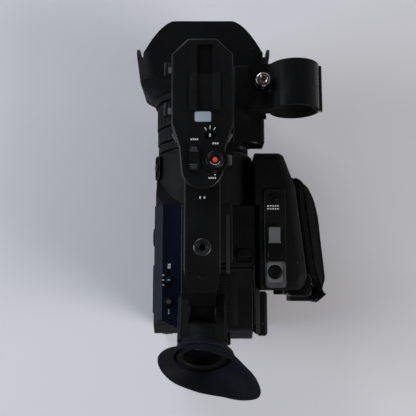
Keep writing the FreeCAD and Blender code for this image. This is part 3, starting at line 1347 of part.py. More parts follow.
def handle_parts():
    save("handle_frame", handle_frame())
    save("handle_cover", handle_cover())
    save("head_lower", head_lower())
    save("head_upper", head_upper())
    save("accessory_shoe", accessory_shoe())
    save("handle_zoom_rocker", rocker((ROCKER_X, ROCKER_Y), ROCKER_SIZE, HEAD_TOP - KEY_DEPTH,
                                      HEAD_TOP + ROCKER_PROUD, 3.6))
    save("record_button", record_button())
    save("hold_lever", hold_lever())
    save("speed_switch", speed_switch())
    save("side_switch", side_switch())
    save("monitor_hinge", *monitor_hinge())
    save("monitor_arm", *monitor_arm())
    save("monitor_panel", monitor_panel(), monitor_screen())
    save("hinge_pins", evf_pin(), clamp_pin())


def holder_parts():
    save("audio_block", audio_block(), xlr_socket(XLR_FRONT, AUDIO_Y[0] - 0.5, 1.0))
    save("clamp_lower", clamp_lower(), clamp_liner(False))
    save("clamp_upper", clamp_upper(), clamp_liner(True))
    save("clamp_knob", clamp_knob())


def grip_parts():
    save("grip_shell", grip_shell())
    save("grip_plate", grip_plate())
    save("grip_zoom_rocker", rocker((SEESAW_X, SEESAW_Y), SEESAW_SIZE, PLATE_FLOOR, PLATE_TOP + 3.5, 2.0))
    save("focus_assist_button", grip_button(ASSIST_R, ASSIST_Y, PLATE_TOP + 1.0))
    save("function_button", grip_button(FUNCTION_R, FUNCTION_Y, PLATE_TOP + 1.6))
    save("thumb_button", thumb_button())
    save("hand_strap", hand_strap())
    save("strap_anchors", *strap_anchors())


def viewfinder_parts():
    save("evf_body", evf_body())
    save("eyepiece_lens", eyepiece_lens(), evf_display())
    save("diopter_dial", diopter_dial())
    save("eyecup", eyecup())


def main():
    os.makedirs("parts", exist_ok=True)
    body_parts()
    lens_parts()
    handle_parts()
    holder_parts()
    grip_parts()
    viewfinder_parts()


if __name__ == "__main__":
    main()
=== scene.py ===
import json
import math

import bmesh
import bpy
from bpy.props import FloatProperty, FloatVectorProperty, IntProperty, PointerProperty
from mathutils import Matrix, Vector, noise


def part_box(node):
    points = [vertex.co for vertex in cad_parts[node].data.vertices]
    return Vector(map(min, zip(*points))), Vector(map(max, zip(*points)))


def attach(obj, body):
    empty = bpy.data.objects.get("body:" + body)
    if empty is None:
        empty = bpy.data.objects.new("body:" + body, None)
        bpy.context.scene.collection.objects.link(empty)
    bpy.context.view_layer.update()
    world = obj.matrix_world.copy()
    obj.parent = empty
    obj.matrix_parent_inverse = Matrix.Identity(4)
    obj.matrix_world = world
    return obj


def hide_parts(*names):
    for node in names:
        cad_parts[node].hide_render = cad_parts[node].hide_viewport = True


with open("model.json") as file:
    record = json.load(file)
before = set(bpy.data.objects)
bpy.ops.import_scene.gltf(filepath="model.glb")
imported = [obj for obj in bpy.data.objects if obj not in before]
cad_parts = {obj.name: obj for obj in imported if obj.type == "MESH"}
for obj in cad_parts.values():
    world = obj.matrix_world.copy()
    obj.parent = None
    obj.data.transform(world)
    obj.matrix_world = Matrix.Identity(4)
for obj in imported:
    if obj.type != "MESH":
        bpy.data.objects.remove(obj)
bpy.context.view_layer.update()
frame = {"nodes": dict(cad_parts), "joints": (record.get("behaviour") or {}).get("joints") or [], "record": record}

bl_info = {
    "name": "Handheld camcorder",
    "version": (1, 0, 0),
    "blender": (4, 5, 0),
    "location": "3D View > Sidebar > Camcorder",
    "description": "Builds the looks of a handheld camcorder around its packed mechanical model",
    "category": "Object",
}

MM = 0.001
ORIGIN = (0.0, 0.0, 0.0)
BODY_OF = {node: body for body, nodes in frame["record"]["behaviour"]["bodies"].items() for node in nodes}
JOINT_AT = {joint["name"]: Vector(joint.get("pos_m") or (0, 0, 0)) / MM for joint in frame["joints"]}
LENS_Z = JOINT_AT["focus_turn"].z
BARREL_R = 38.5
EVF_TILT = math.radians(-33.0)
KNUCKLES = (70.5, 104.7)    # the monitor's hinges, along the head
KNUCKLE_HALF = 5.0
KNUCKLE_EDGE = -27.8
RIB_SHARE = 0.59            # the part of a rib's pitch that isn't groove
KNOT_SEED = 7               # the strap's tail is gathered the same way in every run
STRAP_LOW = [(86.0, 27.5), (98.0, 27.5), (106.5, 20.5), (112.0, -1.0), (114.4, -27.0), (116.8, -52.0),
             (117.0, -65.0), (110.5, -75.0), (102.0, -79.5)]
STRAP_HIGH = [(84.5, 27.5), (87.0, 25.0), (87.0, 19.0), (88.2, -1.0), (91.4, -27.0), (94.4, -52.0),
              (98.0, -64.0), (105.0, -73.5), (102.0, -79.5)]
CUP_RIM = [(-34.0, 4.0), (-26.0, 17.0), (-8.0, 23.0), (12.0, 22.0), (30.0, 14.0), (42.0, -2.0),
           (44.0, -18.0), (34.0, -25.0), (14.0, -26.0), (-8.0, -25.0), (-26.0, -17.0)]


# ================================================================ settings
class CamcorderSizes(bpy.types.PropertyGroup):
    edge: FloatProperty(
        name="Edge radius", description="Rounding of the moulded covers' edges",
        default=0.0006, unit="LENGTH", subtype="DISTANCE")
    key_edge: FloatProperty(
        name="Key edge radius", description="Rounding of buttons and switches",
        default=0.0003, unit="LENGTH", subtype="DISTANCE")
    focus_ribs: IntProperty(name="Focus ring ribs", description="Ribs round the focus ring", default=36)
    zoom_ribs: IntProperty(name="Zoom ring ribs", description="Ribs round the zoom ring", default=60)
    iris_ribs: IntProperty(name="Iris ring ribs", description="Ribs round the iris ring", default=48)
    strap_fold: FloatProperty(
        name="Strap folds", description="Depth of the folds in the hand strap",
        default=0.0011, unit="LENGTH", subtype="DISTANCE")


def tint(name, description, red, green, blue):
    """A colour setting."""
    return FloatVectorProperty(name=name, description=description, subtype="COLOR", size=4, min=0.0, max=1.0,
                               default=(red, green, blue, 1.0))


class CamcorderColours(bpy.types.PropertyGroup):
    shell: tint("Covers", "Moulded body covers", 0.0036, 0.0036, 0.0039)
    # The blue in this colour is a painted reflection of bluish light on the black cover; the screen takes it too.
    panel: tint("Left panel", "Blue-black left cover", 0.0026, 0.0038, 0.0108)
    handle: tint("Handle", "Satin handle cover and control head", 0.0042, 0.0042, 0.0045)
    key: tint("Keys", "Buttons and switches", 0.0032, 0.0032, 0.0034)
    pale_key: tint("Pale key", "Front half of the grip's rocker", 0.11, 0.112, 0.115)
    # Also the painted highlight on the head's facets and on the viewfinder shield's rims.
    grey_key: tint("Grey key", "Side switch of the handle", 0.060, 0.060, 0.064)
    rubber: tint("Rubber", "Grip and lens rings", 0.0028, 0.0028, 0.0032)
    cup: tint("Eyecup", "Soft eyecup", 0.0027, 0.0029, 0.0062)
    hood: tint("Hood", "Lens hood", 0.0025, 0.0025, 0.0031)
    holder: tint("Holder", "Microphone holder", 0.0030, 0.0030, 0.0034)
    strap: tint("Strap", "Hand strap fabric", 0.0009, 0.0009, 0.0010)
    mark: tint("Marks", "Printed ticks and dots", 0.50, 0.50, 0.51)
    signal: tint("Signal red", "Dot on the record button", 0.62, 0.05, 0.03)
    blue: tint("Blue tick", "Tick beside the left slider", 0.10, 0.25, 0.42)
    inset: tint("Inset plate", "Blue-grey plate on the head", 0.25, 0.29, 0.34)
    nickel: tint("Nickel", "Warm nickel of the clamp's screw", 0.56, 0.47, 0.42)
    silver: tint("Silver", "Hinges and trims", 0.36, 0.37, 0.38)
    steel: tint("Steel", "Screws and inserts", 0.34, 0.34, 0.35)
    anodised: tint("Anodised", "Black metal of the lens and the shoe", 0.0045, 0.0045, 0.0050)
    board: tint("Board", "Circuit board", 0.010, 0.070, 0.030)
    floor: tint("Floor", "Table under the camcorder", 0.60, 0.59, 0.62)


class CamcorderStage(bpy.types.PropertyGroup):
    eye: FloatVectorProperty(
        name="Camera place", description="Where the camera stands", subtype="TRANSLATION", unit="LENGTH",
        default=(0.0045, -0.0773, 0.650))
    lean: FloatProperty(
        name="Camera lean", description="Camera's tilt from straight down", subtype="ANGLE", unit="ROTATION",
        default=math.radians(8.0))
    lens: FloatProperty(
        name="Focal length", description="Camera's focal length in millimetres", default=52.79)
    lamp: FloatProperty(name="Lamp power", description="Power of the front lamp in watts", default=8.5)
    fill: FloatProperty(name="Fill light", description="Strength of the light all round", default=0.40)
    ceiling: FloatProperty(name="Ceiling", description="Share of the fill light straight above", default=0.06)


def sizes():
    """The sizes that a user may change."""
    return bpy.context.scene.camcorder_sizes


def colour(name):
    """The named colour setting."""
    return tuple(getattr(bpy.context.scene.camcorder_colours, name))


# ================================================================ shader groups
def new_group(name, inputs, outputs):
    """An empty shader node group with named sockets."""
    group = bpy.data.node_groups.new(name, "ShaderNodeTree")
    for label, default in inputs:
        socket = group.interface.new_socket(name=label, in_out="INPUT", socket_type="NodeSocketFloat")
        socket.default_value = default
    for label in outputs:
        group.interface.new_socket(name=label, in_out="OUTPUT", socket_type="NodeSocketFloat")
    return group, group.nodes.new("NodeGroupInput"), group.nodes.new("NodeGroupOutput")


def node(tree, kind, inputs=None, **settings):
    """A node with its settings, and its inputs given as values or as sockets to link from."""
    made = tree.nodes.new(kind)
    for name, value in settings.items():
        setattr(made, name, value)
    for socket, value in (inputs or {}).items():
        if isinstance(value, bpy.types.NodeSocket):
            tree.links.new(value, made.inputs[socket])
        else:
            made.inputs[socket].default_value = value
    return made


def maths(tree, operation, first, second, third=None, clamp=False):
    """A sum on values or sockets."""
    inputs = {0: first, 1: second}
    if third is not None:
        inputs[2] = third
    return node(tree, "ShaderNodeMath", inputs, operation=operation, use_clamp=clamp).outputs[0]


def span_of(tree, value, low, high, to_low=0.0, to_high=1.0):
    """Map a value's span onto another."""
    return node(tree, "ShaderNodeMapRange", {"Value": value, "From Min": low, "From Max": high,
                                             "To Min": to_low, "To Max": to_high}).outputs[0]


def blend_colours(tree, factor, first, second):
    """A mix of two colours."""
    return node(tree, "ShaderNodeMix", {0: factor, 6: first, 7: second}, data_type="RGBA").outputs[2]


def clouds(tree, place, scale, detail, roughness=0.5):
    """Cloudy noise from 0 to 1."""
    return node(tree, "ShaderNodeTexNoise", {"Vector": place, "Scale": scale, "Detail": detail,
                                             "Roughness": roughness}).outputs[0]


def grain_group():
    """Moulded grain: a height, and a slow drift for gloss and colour."""
    group, entry, leave = new_group("moulded_grain", [("Scale", 1800.0), ("Depth", 1.0)], ["Height", "Drift"])
    place = node(group, "ShaderNodeTexCoord").outputs["Object"]
    fine = clouds(group, place, entry.outputs["Scale"], 3.0, 0.6)
    cells = node(group, "ShaderNodeTexVoronoi", {"Vector": place, "Scale": entry.outputs["Scale"]})
    mixed = maths(group, "ADD", fine, cells.outputs["Distance"])
    group.links.new(maths(group, "MULTIPLY", mixed, entry.outputs["Depth"]), leave.inputs["Height"])
    group.links.new(clouds(group, place, 38.0, 5.0, 0.62), leave.inputs["Drift"])
    return group


def wear_and_highlight_group():
    """Masks of polished edges, which are also lighter as a painted edge highlight, and of settled dust."""
    group, entry, leave = new_group("edge_wear", [("Reach", 0.5)], ["Edge", "Dust"])
    place = node(group, "ShaderNodeTexCoord").outputs["Object"]
    shape = node(group, "ShaderNodeNewGeometry")
    edge = span_of(group, shape.outputs["Pointiness"], 0.54, 0.62)
    rubbed = maths(group, "MULTIPLY", edge, span_of(group, clouds(group, place, 220.0, 4.0), 0.30, 0.55))
    polished_and_highlit = maths(group, "MULTIPLY", rubbed, entry.outputs["Reach"], clamp=True)
    group.links.new(polished_and_highlit, leave.inputs["Edge"])
    specks = node(group, "ShaderNodeTexVoronoi", {"Vector": place, "Scale": 240.0})
    dots = span_of(group, specks.outputs["Distance"], 0.070, 0.040)
    few = span_of(group, specks.outputs["Color"], 0.84, 0.88)
    facing = node(group, "ShaderNodeSeparateXYZ", {0: shape.outputs["Normal"]})
    upward = span_of(group, facing.outputs["Z"], 0.6, 0.95)
    settled = maths(group, "MULTIPLY", maths(group, "MULTIPLY", dots, few), upward, clamp=True)
    group.links.new(settled, leave.inputs["Dust"])
    return group


def weave_group():
    """Over-and-under weave along a piece's own map, in threads per metre."""
    group, entry, leave = new_group("weave", [("Threads", 1400.0)], ["Height", "Gap"])
    flat = node(group, "ShaderNodeSeparateXYZ", {0: node(group, "ShaderNodeUVMap").outputs[0]})
    turns = maths(group, "MULTIPLY", entry.outputs["Threads"], math.pi)
    waves = [maths(group, "SINE", maths(group, "MULTIPLY", flat.outputs[axis], turns), 0.0) for axis in "XY"]
    over = maths(group, "MULTIPLY", *waves)
    crown = maths(group, "ADD", *(maths(group, "ABSOLUTE", wave, 0.0) for wave in waves))
    group.links.new(maths(group, "MULTIPLY_ADD", over, 0.6, crown), leave.inputs["Height"])
    group.links.new(span_of(group, crown, 0.75, 0.2), leave.inputs["Gap"])
    return group


GROUPS = {}
MATERIALS = {}


def effect(tree, maker, **values):
    """Place a shared shader group, which is built once, with this material's own values."""
    if maker not in GROUPS:
        GROUPS[maker] = maker()
    placed = node(tree, "ShaderNodeGroup", node_tree=GROUPS[maker])
    for label, value in values.items():
        placed.inputs[label].default_value = value
    return placed.outputs


def new_material(name):
    """An empty material, with its node tree and its shader."""
    material = bpy.data.materials.new(name)
    material.use_nodes = True
    MATERIALS[name] = material
    return material, material.node_tree, material.node_tree.nodes["Principled BSDF"]


def scaled(shade, factor, lift=0.0):
    """A lighter or darker shade."""
    return tuple(min(1.0, part * factor + lift) for part in shade[:3]) + (1.0,)


def add_relief(tree, shader, height, distance):
    """Bump the surface by a height."""
    relief = node(tree, "ShaderNodeBump", {"Height": height, "Distance": distance})
    tree.links.new(relief.outputs[0], shader.inputs["Normal"])


def coated(name, shade, roughness, grain=1800.0, depth=0.5, wear=0.0, bump=0.00004, drift=0.08, metallic=0.0,
           **fixed):
    """Moulded, painted or plated finish with grain, drifting gloss, polished edges that also carry a painted
    highlight, and specks of dust.
    """
    if name in MATERIALS:
        return MATERIALS[name]
    material, tree, shader = new_material(name)
    shader.inputs["Metallic"].default_value = metallic
    shader.inputs["Specular IOR Level"].default_value = 0.5 if metallic else 0.14
    for socket, value in fixed.items():
        shader.inputs[socket.replace("_", " ").title().replace("Ior", "IOR")].default_value = value
    texture = effect(tree, grain_group, Scale=grain, Depth=depth)
    worn_and_lit = effect(tree, wear_and_highlight_group, Reach=wear)
    rough = span_of(tree, texture["Drift"], 0.3, 0.7, roughness - drift, roughness + drift)
    rough = maths(tree, "MULTIPLY_ADD", worn_and_lit["Edge"], -0.15, rough)
    rough = maths(tree, "MULTIPLY_ADD", worn_and_lit["Dust"], 0.4, rough, clamp=True)
    tree.links.new(rough, shader.inputs["Roughness"])
    base = blend_colours(tree, texture["Drift"], scaled(shade, 0.94), scaled(shade, 1.10))
    # Lighter edges: partly polished wear, partly a painted edge highlight.
    base = blend_colours(tree, worn_and_lit["Edge"], base, scaled(shade, 1.8, 0.0 if metallic else 0.012))
    base = blend_colours(tree, worn_and_lit["Dust"], base, (0.30, 0.30, 0.31, 1.0))
    tree.links.new(base, shader.inputs["Base Color"])
    add_relief(tree, shader, texture["Height"], bump)
    return material


def woven(name, shade, threads, bump):
    """Cloth with an over-and-under weave, painted shade in the gaps between threads, and a little fuzz."""
    if name in MATERIALS:
        return MATERIALS[name]
    material, tree, shader = new_material(name)
    shader.inputs["Sheen Weight"].default_value = 0.004
    shader.inputs["Sheen Roughness"].default_value = 0.5
    shader.inputs["Specular IOR Level"].default_value = 0.04
    weave = effect(tree, weave_group, Threads=threads)
    texture = effect(tree, grain_group, Scale=900.0)
    base = blend_colours(tree, texture["Drift"], scaled(shade, 0.7), scaled(shade, 1.5))
    # Painted shade in the gaps between the threads.
    base = blend_colours(tree, weave["Gap"], base, scaled(shade, 0.35))
    tree.links.new(base, shader.inputs["Base Color"])
    tree.links.new(span_of(tree, texture["Drift"], 0.3, 0.7, 0.75, 0.95), shader.inputs["Roughness"])
    add_relief(tree, shader, maths(tree, "ADD", weave["Height"], texture["Height"]), bump)
    return material


def optical_glass():
    """Coated glass, darker and bluer at a grazing look."""
    if "optical_glass" in MATERIALS:
        return MATERIALS["optical_glass"]
    material, tree, shader = new_material("optical_glass")
    shader.inputs["Transmission Weight"].default_value = 0.85
    shader.inputs["IOR"].default_value = 1.52
    shader.inputs["Coat Weight"].default_value = 0.15
    shader.inputs["Coat Roughness"].default_value = 0.02
    facing = node(tree, "ShaderNodeLayerWeight", {"Blend": 0.35}).outputs["Facing"]
    tree.links.new(blend_colours(tree, facing, (0.012, 0.014, 0.018, 1.0), (0.03, 0.02, 0.055, 1.0)),
                   shader.inputs["Base Color"])
    smear = clouds(tree, node(tree, "ShaderNodeTexCoord").outputs["Object"], 60.0, 4.0)
    tree.links.new(span_of(tree, smear, 0.3, 0.7, 0.01, 0.05), shader.inputs["Roughness"])
    return material


SATIN = {"grain": 2600.0, "depth": 0.3, "bump": 0.00002}
PLATED = {"metallic": 1.0, "bump": 0.00001}
# Each finish: its material's name, the colour setting and the share of it, the roughness, and the rest.
FINISHES = {
    "shell": ("moulded_shell", "shell", 1.0, 0.50, {}),
    "housing": ("housing_shell", "shell", 0.7, 0.52, {"specular_ior_level": 0.07}),
    "battery": ("battery_case", "shell", 1.15, 0.52, {"grain": 1600.0}),
    # rim: the shell lightened as a painted highlight on the rounded edges of the covers
    "rim": ("rubbed_edge", "shell", 3.2, 0.34, {"wear": 0.2, "specular_ior_level": 0.22}),
    # rail: the shell five times lighter, a painted highlight on the top rail and on the battery's slats
    "rail": ("worn_rail", "shell", 5.0, 0.42, {}),
    # panel: its blue tint is a painted reflection; the screen below reuses it
    "panel": ("blue_black_panel", "panel", 1.0, 0.42, {"grain": 2400.0, "specular_ior_level": 0.09}),
    "screen": ("dark_screen", "panel", 0.5, 0.08, {"depth": 0.0, "drift": 0.02, "coat_weight": 1.0}),
    "handle": ("satin_handle", "handle", 1.0, 0.36, SATIN),
    "key": ("key_plastic", "key", 1.0, 0.38, {**SATIN, "wear": 0.4}),
    "pale_key": ("pale_key", "pale_key", 1.0, 0.45, {"wear": 0.1}),
    # grey_key: also a painted highlight on the head's facets and the shield's rims
    "grey_key": ("grey_key", "grey_key", 1.0, 0.45, {"wear": 0.1}),
    "rubber": ("soft_touch_rubber", "rubber", 1.0, 0.66,
               {"grain": 1500.0, "depth": 0.9, "bump": 0.00006, "specular_ior_level": 0.10}),
    "cup": ("eyecup_rubber", "cup", 1.0, 0.72, {"grain": 1200.0, "wear": 0.1, "specular_ior_level": 0.12}),
    "hood": ("matt_hood", "hood", 1.0, 0.60,
             {"grain": 1500.0, "depth": 0.8, "bump": 0.00005, "specular_ior_level": 0.08}),
    # flock: also the painted shade in the head's groove behind the shoe
    "flock": ("light_trap", "hood", 0.35, 0.9, {"grain": 1500.0, "specular_ior_level": 0.10}),
    "holder": ("semi_gloss_holder", "holder", 1.0, 0.30, {**SATIN, "depth": 0.25, "wear": 0.15}),
    "mark": ("printed_mark", "mark", 1.0, 0.6, {}),
    "signal": ("signal_red", "signal", 1.0, 0.35, {"coat_weight": 0.4}),
    "blue": ("blue_tick", "blue", 1.0, 0.5, {}),
    "inset": ("inset_plate", "inset", 1.0, 0.42, {"grain": 3000.0, "wear": 0.1, "coat_weight": 0.3}),
    "nickel": ("warm_nickel", "nickel", 1.0, 0.20, {**PLATED, "wear": 0.2}),
    "silver": ("satin_silver", "silver", 1.0, 0.34, {**PLATED, "wear": 0.5}),
    "steel": ("brushed_steel", "steel", 1.0, 0.32, {**PLATED, "wear": 0.5}),
    "socket": ("dark_nickel", "steel", 0.22, 0.36, PLATED),
    "aluminium": ("plain_aluminium", "silver", 1.25, 0.40, {"metallic": 1.0}),
    "anodised": ("black_anodised", "anodised", 1.0, 0.40, {"grain": 3200.0, "bump": 0.00001, "wear": 0.1}),
    "board": ("solder_mask", "board", 1.0, 0.35, {"coat_weight": 0.3}),
}
# Each cloth: its material's name, the share of the strap's colour, threads per metre and the relief.
CLOTHS = {
    "strap": ("strap_padding", 1.0, 900.0, 0.00012),
    "webbing": ("strap_webbing", 1.35, 560.0, 0.00022),
}


def finish(name):
    """The named finish of this camcorder."""
    if name == "glass":
        return optical_glass()
    if name in CLOTHS:
        label, share, threads, bump = CLOTHS[name]
        return woven(label, scaled(colour("strap"), share), threads, bump)
    label, tone, share, roughness, more = FINISHES[name]
    return coated(label, scaled(colour(tone), share), roughness, **more)


# ================================================================ shapes
def round_edges(bm, edges, radius, segments=2, material=-1):
    """Bevel edges round."""
    bmesh.ops.bevel(bm, geom=edges, offset=radius, segments=segments, profile=0.5, affect="EDGES",
                    clamp_overlap=True, material=material)


def sharp_edges(bm, degrees):
    """Edges whose faces turn by more than an angle."""
    limit = math.radians(degrees)
    return [edge for edge in bm.edges if edge.is_manifold and edge.calc_face_angle(0.0) > limit]


def edges_along(bm, number):
    """Edges that run along the axis of that number."""
    return [edge for edge in bm.edges
            if abs((edge.verts[0].co - edge.verts[1].co).normalized()[number]) > 0.9]


def verts_of(grown):
    """The vertices that an extrusion made."""
    return [part for part in grown["geom"] if isinstance(part, bmesh.types.BMVert)]


def cut_plane(bm, place, normal, clear=False):
    """Cut a shape's faces along a plane, and clear what is behind it if asked."""
    bmesh.ops.bisect_plane(bm, geom=bm.verts[:] + bm.edges[:] + bm.faces[:], clear_inner=clear,
                           plane_co=Vector(place) * MM, plane_no=normal)


def cut_lines(bm, axis, places):
    """Cut a shape's faces across an axis, so that they can bend or change finish there."""
    normal = Vector([float(letter == axis) for letter in "xyz"])
    for place in places:
        cut_plane(bm, normal * place, normal)


def block(low, high, corner=0.0, axis="z", edge=0.15):
    """A box between two corners, with rounded corners round an axis and rounded edges."""
    low, high = Vector(low) * MM, Vector(high) * MM
    bm = bmesh.new()
    spread = Matrix.Diagonal((*(high - low), 1.0))
    bmesh.ops.create_cube(bm, size=1.0, matrix=Matrix.Translation((low + high) / 2) @ spread)
    if corner:
        round_edges(bm, edges_along(bm, "xyz".index(axis)), corner * MM, 6)
    if edge:
        round_edges(bm, sharp_edges(bm, 50.0), edge * MM)
    return bm


def pad(centre, size, low, high, corner=0.0, edge=0.15):
    """A block on a centre in plan."""
    (x, y), (width, length) = centre, size
    return block((x - width / 2, y - length / 2, low), (x + width / 2, y + length / 2, high), corner,
                 edge=edge)


def printed(place, size, level):
    """A thin printed mark on a level face."""
    return pad(place, size, level - 0.05, level + 0.06, edge=0.0)


def printed_row(first, step, count, size, level):
    """Printed marks, a step apart."""
    return [printed((first[0] + step[0] * number, first[1] + step[1] * number), size, level)
            for number in range(count)]


def spun(outline, centre, axis="y", steps=96, closed=True):
    """A round body from an outline of pairs: radius, and place along the axis."""
    bm = bmesh.new()
    along = "xyz".index(axis)
    across = (along + 1) % 3
    points = []
    for radius, distance in outline:
        place = Vector(centre)
        place[along] = distance
        place[across] += radius
        points.append(bm.verts.new(place * MM))
    pairs = list(zip(points, points[1:])) + ([(points[-1], points[0])] if closed else [])
    edges = [bm.edges.new(pair) for pair in pairs]
    direction = Vector((0.0, 0.0, 0.0))
    direction[along] = 1.0
    bmesh.ops.spin(bm, geom=points + edges, cent=Vector(centre) * MM, axis=direction, angle=2 * math.pi,
                   steps=steps, use_merge=True)
    bmesh.ops.remove_doubles(bm, verts=bm.verts, dist=1e-6)
    bmesh.ops.recalc_face_normals(bm, faces=bm.faces)
    return bm


def grooved(bm, centre, axis, count, depth, ends, radius):
    """Press grooves between the ribs of a round body's rim, between two places along its axis."""
    along = "xyz".index(axis)
    one, two = (along + 1) % 3, (along + 2) % 3
    middle = Vector(centre) * MM
    for vert in bm.verts:
        offset = vert.co - middle
        reach = math.hypot(offset[one], offset[two])
        if ends[0] < vert.co[along] / MM < ends[1] and reach / MM > radius - 0.1:
            phase = math.atan2(offset[two], offset[one]) / (2 * math.pi) * count % 1.0
            if phase > RIB_SHARE:
                vert.co[one] -= offset[one] / reach * depth * MM
                vert.co[two] -= offset[two] / reach * depth * MM
    return bm


def gather(*parts):
    """Join several shapes into one."""
    whole = bmesh.new()
    for part in parts:
        scratch = bpy.data.meshes.new("scratch")
        part.to_mesh(scratch)
        part.free()
        whole.from_mesh(scratch)
        bpy.data.meshes.remove(scratch)
    return whole


def shifted(bm, matrix):
    """Move or turn a shape."""
    bmesh.ops.transform(bm, matrix=matrix, verts=bm.verts)
    return bm


def turned(bm, centre, axis, degrees):
    """Turn a shape about an axis through a point."""
    place = Matrix.Translation(Vector(centre) * MM)
    return shifted(bm, place @ Matrix.Rotation(math.radians(degrees), 4, axis.upper()) @ place.inverted())


def piece(name, bm, body, materials, replaced=(), crisp=35.0, pick=None, even=False, rim=-1):
    """Make a shape a finished piece on a body; pick gives each face's material, except on the rim."""
    mesh = bpy.data.meshes.new(name)
    if pick:
        for face in bm.faces:
            if face.material_index != rim:
                face.material_index = pick(face.calc_center_median() / MM, face.normal)
    bm.to_mesh(mesh)
    bm.free()
    for material in materials if isinstance(materials, list) else [materials]:
        mesh.materials.append(material)
    mesh.polygons.foreach_set("use_smooth", [True] * len(mesh.polygons))
    mesh.set_sharp_from_angle(angle=math.radians(crisp))
    made = bpy.data.objects.new(name, mesh)
    bpy.context.scene.collection.objects.link(made)
    if even:
        normals = made.modifiers.new("Even normals", "WEIGHTED_NORMAL")
        normals.keep_sharp = True
    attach(made, body)
    if replaced:
        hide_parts(*replaced)
    return made


def dress(name, materials, edge=None, angle=30.0, pick=None, crisp=38.0, segments=3, cut=None, rim=False):
    """A rounded copy of a CAD node that stands for it, with a painted highlight on its rounded edges where rim is
    set.
    """
    materials = list(materials) if isinstance(materials, list) else [materials]
    number = len(materials) if rim else -1
    # The rounded edges get a lighter finish, a painted edge highlight.
    if rim:
        materials.append(finish("rim"))
    bm = bmesh.new()
    bm.from_mesh(frame["nodes"][name].data)
    bmesh.ops.remove_doubles(bm, verts=bm.verts, dist=2e-6)
    bmesh.ops.dissolve_limit(bm, angle_limit=math.radians(0.6), verts=bm.verts, edges=bm.edges)
    if cut:
        cut(bm)
    edge = sizes().edge if edge is None else edge
    if edge:
        round_edges(bm, sharp_edges(bm, angle), edge, segments, number)
    return piece(name + "_moulding", bm, BODY_OF[name], materials, [name], crisp, pick,
                 even=True, rim=number)


def subdivided(made, label):
    """Smooth a piece by one level of subdivision."""
    smooth = made.modifiers.new(label, "SUBSURF")
    smooth.levels = smooth.render_levels = 1


def paint(name, material):
    """Give a CAD node that stays its finish."""
    thing = frame["nodes"][name]
    if thing.material_slots:
        for entry in thing.material_slots:
            entry.material = material
    else:
        thing.data.materials.append(material)


def span(name):
    """Lowest and highest corners of a CAD node, in millimetres."""
    low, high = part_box(name)
    return low / MM, high / MM


def plan_middle(name):
    """Middle of a CAD node seen from above, in millimetres."""
    low, high = span(name)
    return (low.x + high.x) / 2, (low.y + high.y) / 2


# ================================================================ steps
class BuildStep:
    """Shared settings of the operators."""
    bl_options = {"REGISTER", "UNDO"}


class CAMCORDER_OT_stage(BuildStep, bpy.types.Operator):
    """Floor, soft light and camera"""
    bl_idname = "camcorder.stage"
    bl_label = "Stage"

    def execute(self, context):
        stage = context.scene.camcorder_stage
        camera = bpy.data.cameras.new("viewpoint")
        camera.lens = stage.lens
        camera.clip_start = 0.01
        eye = bpy.data.objects.new("viewpoint", camera)
        eye.location = stage.eye
        eye.rotation_euler = (stage.lean, 0.0, 0.0)
        context.scene.collection.objects.link(eye)
        context.scene.camera = eye
        bm = bmesh.new()
        bmesh.ops.create_grid(bm, x_segments=4, y_segments=4, size=3.0)
        mesh = bpy.data.meshes.new("table_top")
        bm.to_mesh(mesh)
        bm.free()
        table = bpy.data.objects.new("table_top", mesh)
        mesh.materials.append(self.table_finish())
        context.scene.collection.objects.link(table)
        lamps = [("front_softbox", (-0.70, 1.60, 0.95), 1.0, stage.lamp * 1.9, (0.94, 0.97, 1.0)),
                 ("left_softbox", (-1.55, -0.05, 0.80), 1.0, stage.lamp * 2.7, (0.86, 0.92, 1.0)),
                 ("right_softbox", (1.40, -0.75, 0.95), 1.0, stage.lamp * 2.9, (1.0, 0.985, 0.96))]
        for name, place, size, power, shade in lamps:
            lamp = bpy.data.lights.new(name, "AREA")
            lamp.shape = "DISK"
            lamp.size = size
            lamp.energy = power
            lamp.color = shade
            hung = bpy.data.objects.new(name, lamp)
            hung.location = place
            hung.rotation_euler = (-Vector(place)).to_track_quat("-Z", "Y").to_euler()
            context.scene.collection.objects.link(hung)
        world = bpy.data.worlds.new("soft_room")
        world.use_nodes = True
        tree = world.node_tree
        room = tree.nodes["Background"]
        room.inputs[0].default_value = (0.93, 0.95, 1.0, 1.0)
        sky = node(tree, "ShaderNodeTexCoord").outputs["Generated"]
        height = node(tree, "ShaderNodeSeparateXYZ", {0: sky})
        glow = span_of(tree, height.outputs["Z"], 0.30, 0.92, stage.fill, stage.fill * stage.ceiling)
        tree.links.new(glow, room.inputs[1])
        context.scene.world = world
        context.scene.view_settings.view_transform = "Standard"
        return {"FINISHED"}

    def table_finish(self):
        """Pale, slightly cloudy table."""
        material, tree, shader = new_material("table_top")
        cloudy = clouds(tree, node(tree, "ShaderNodeTexCoord").outputs["Object"], 3.0, 3.0)
        shade = colour("floor")
        tree.links.new(blend_colours(tree, cloudy, scaled(shade, 0.97), scaled(shade, 1.03)),
                       shader.inputs["Base Color"])
        shader.inputs["Roughness"].default_value = 0.7
        shader.inputs["Specular IOR Level"].default_value = 0.2
        return material


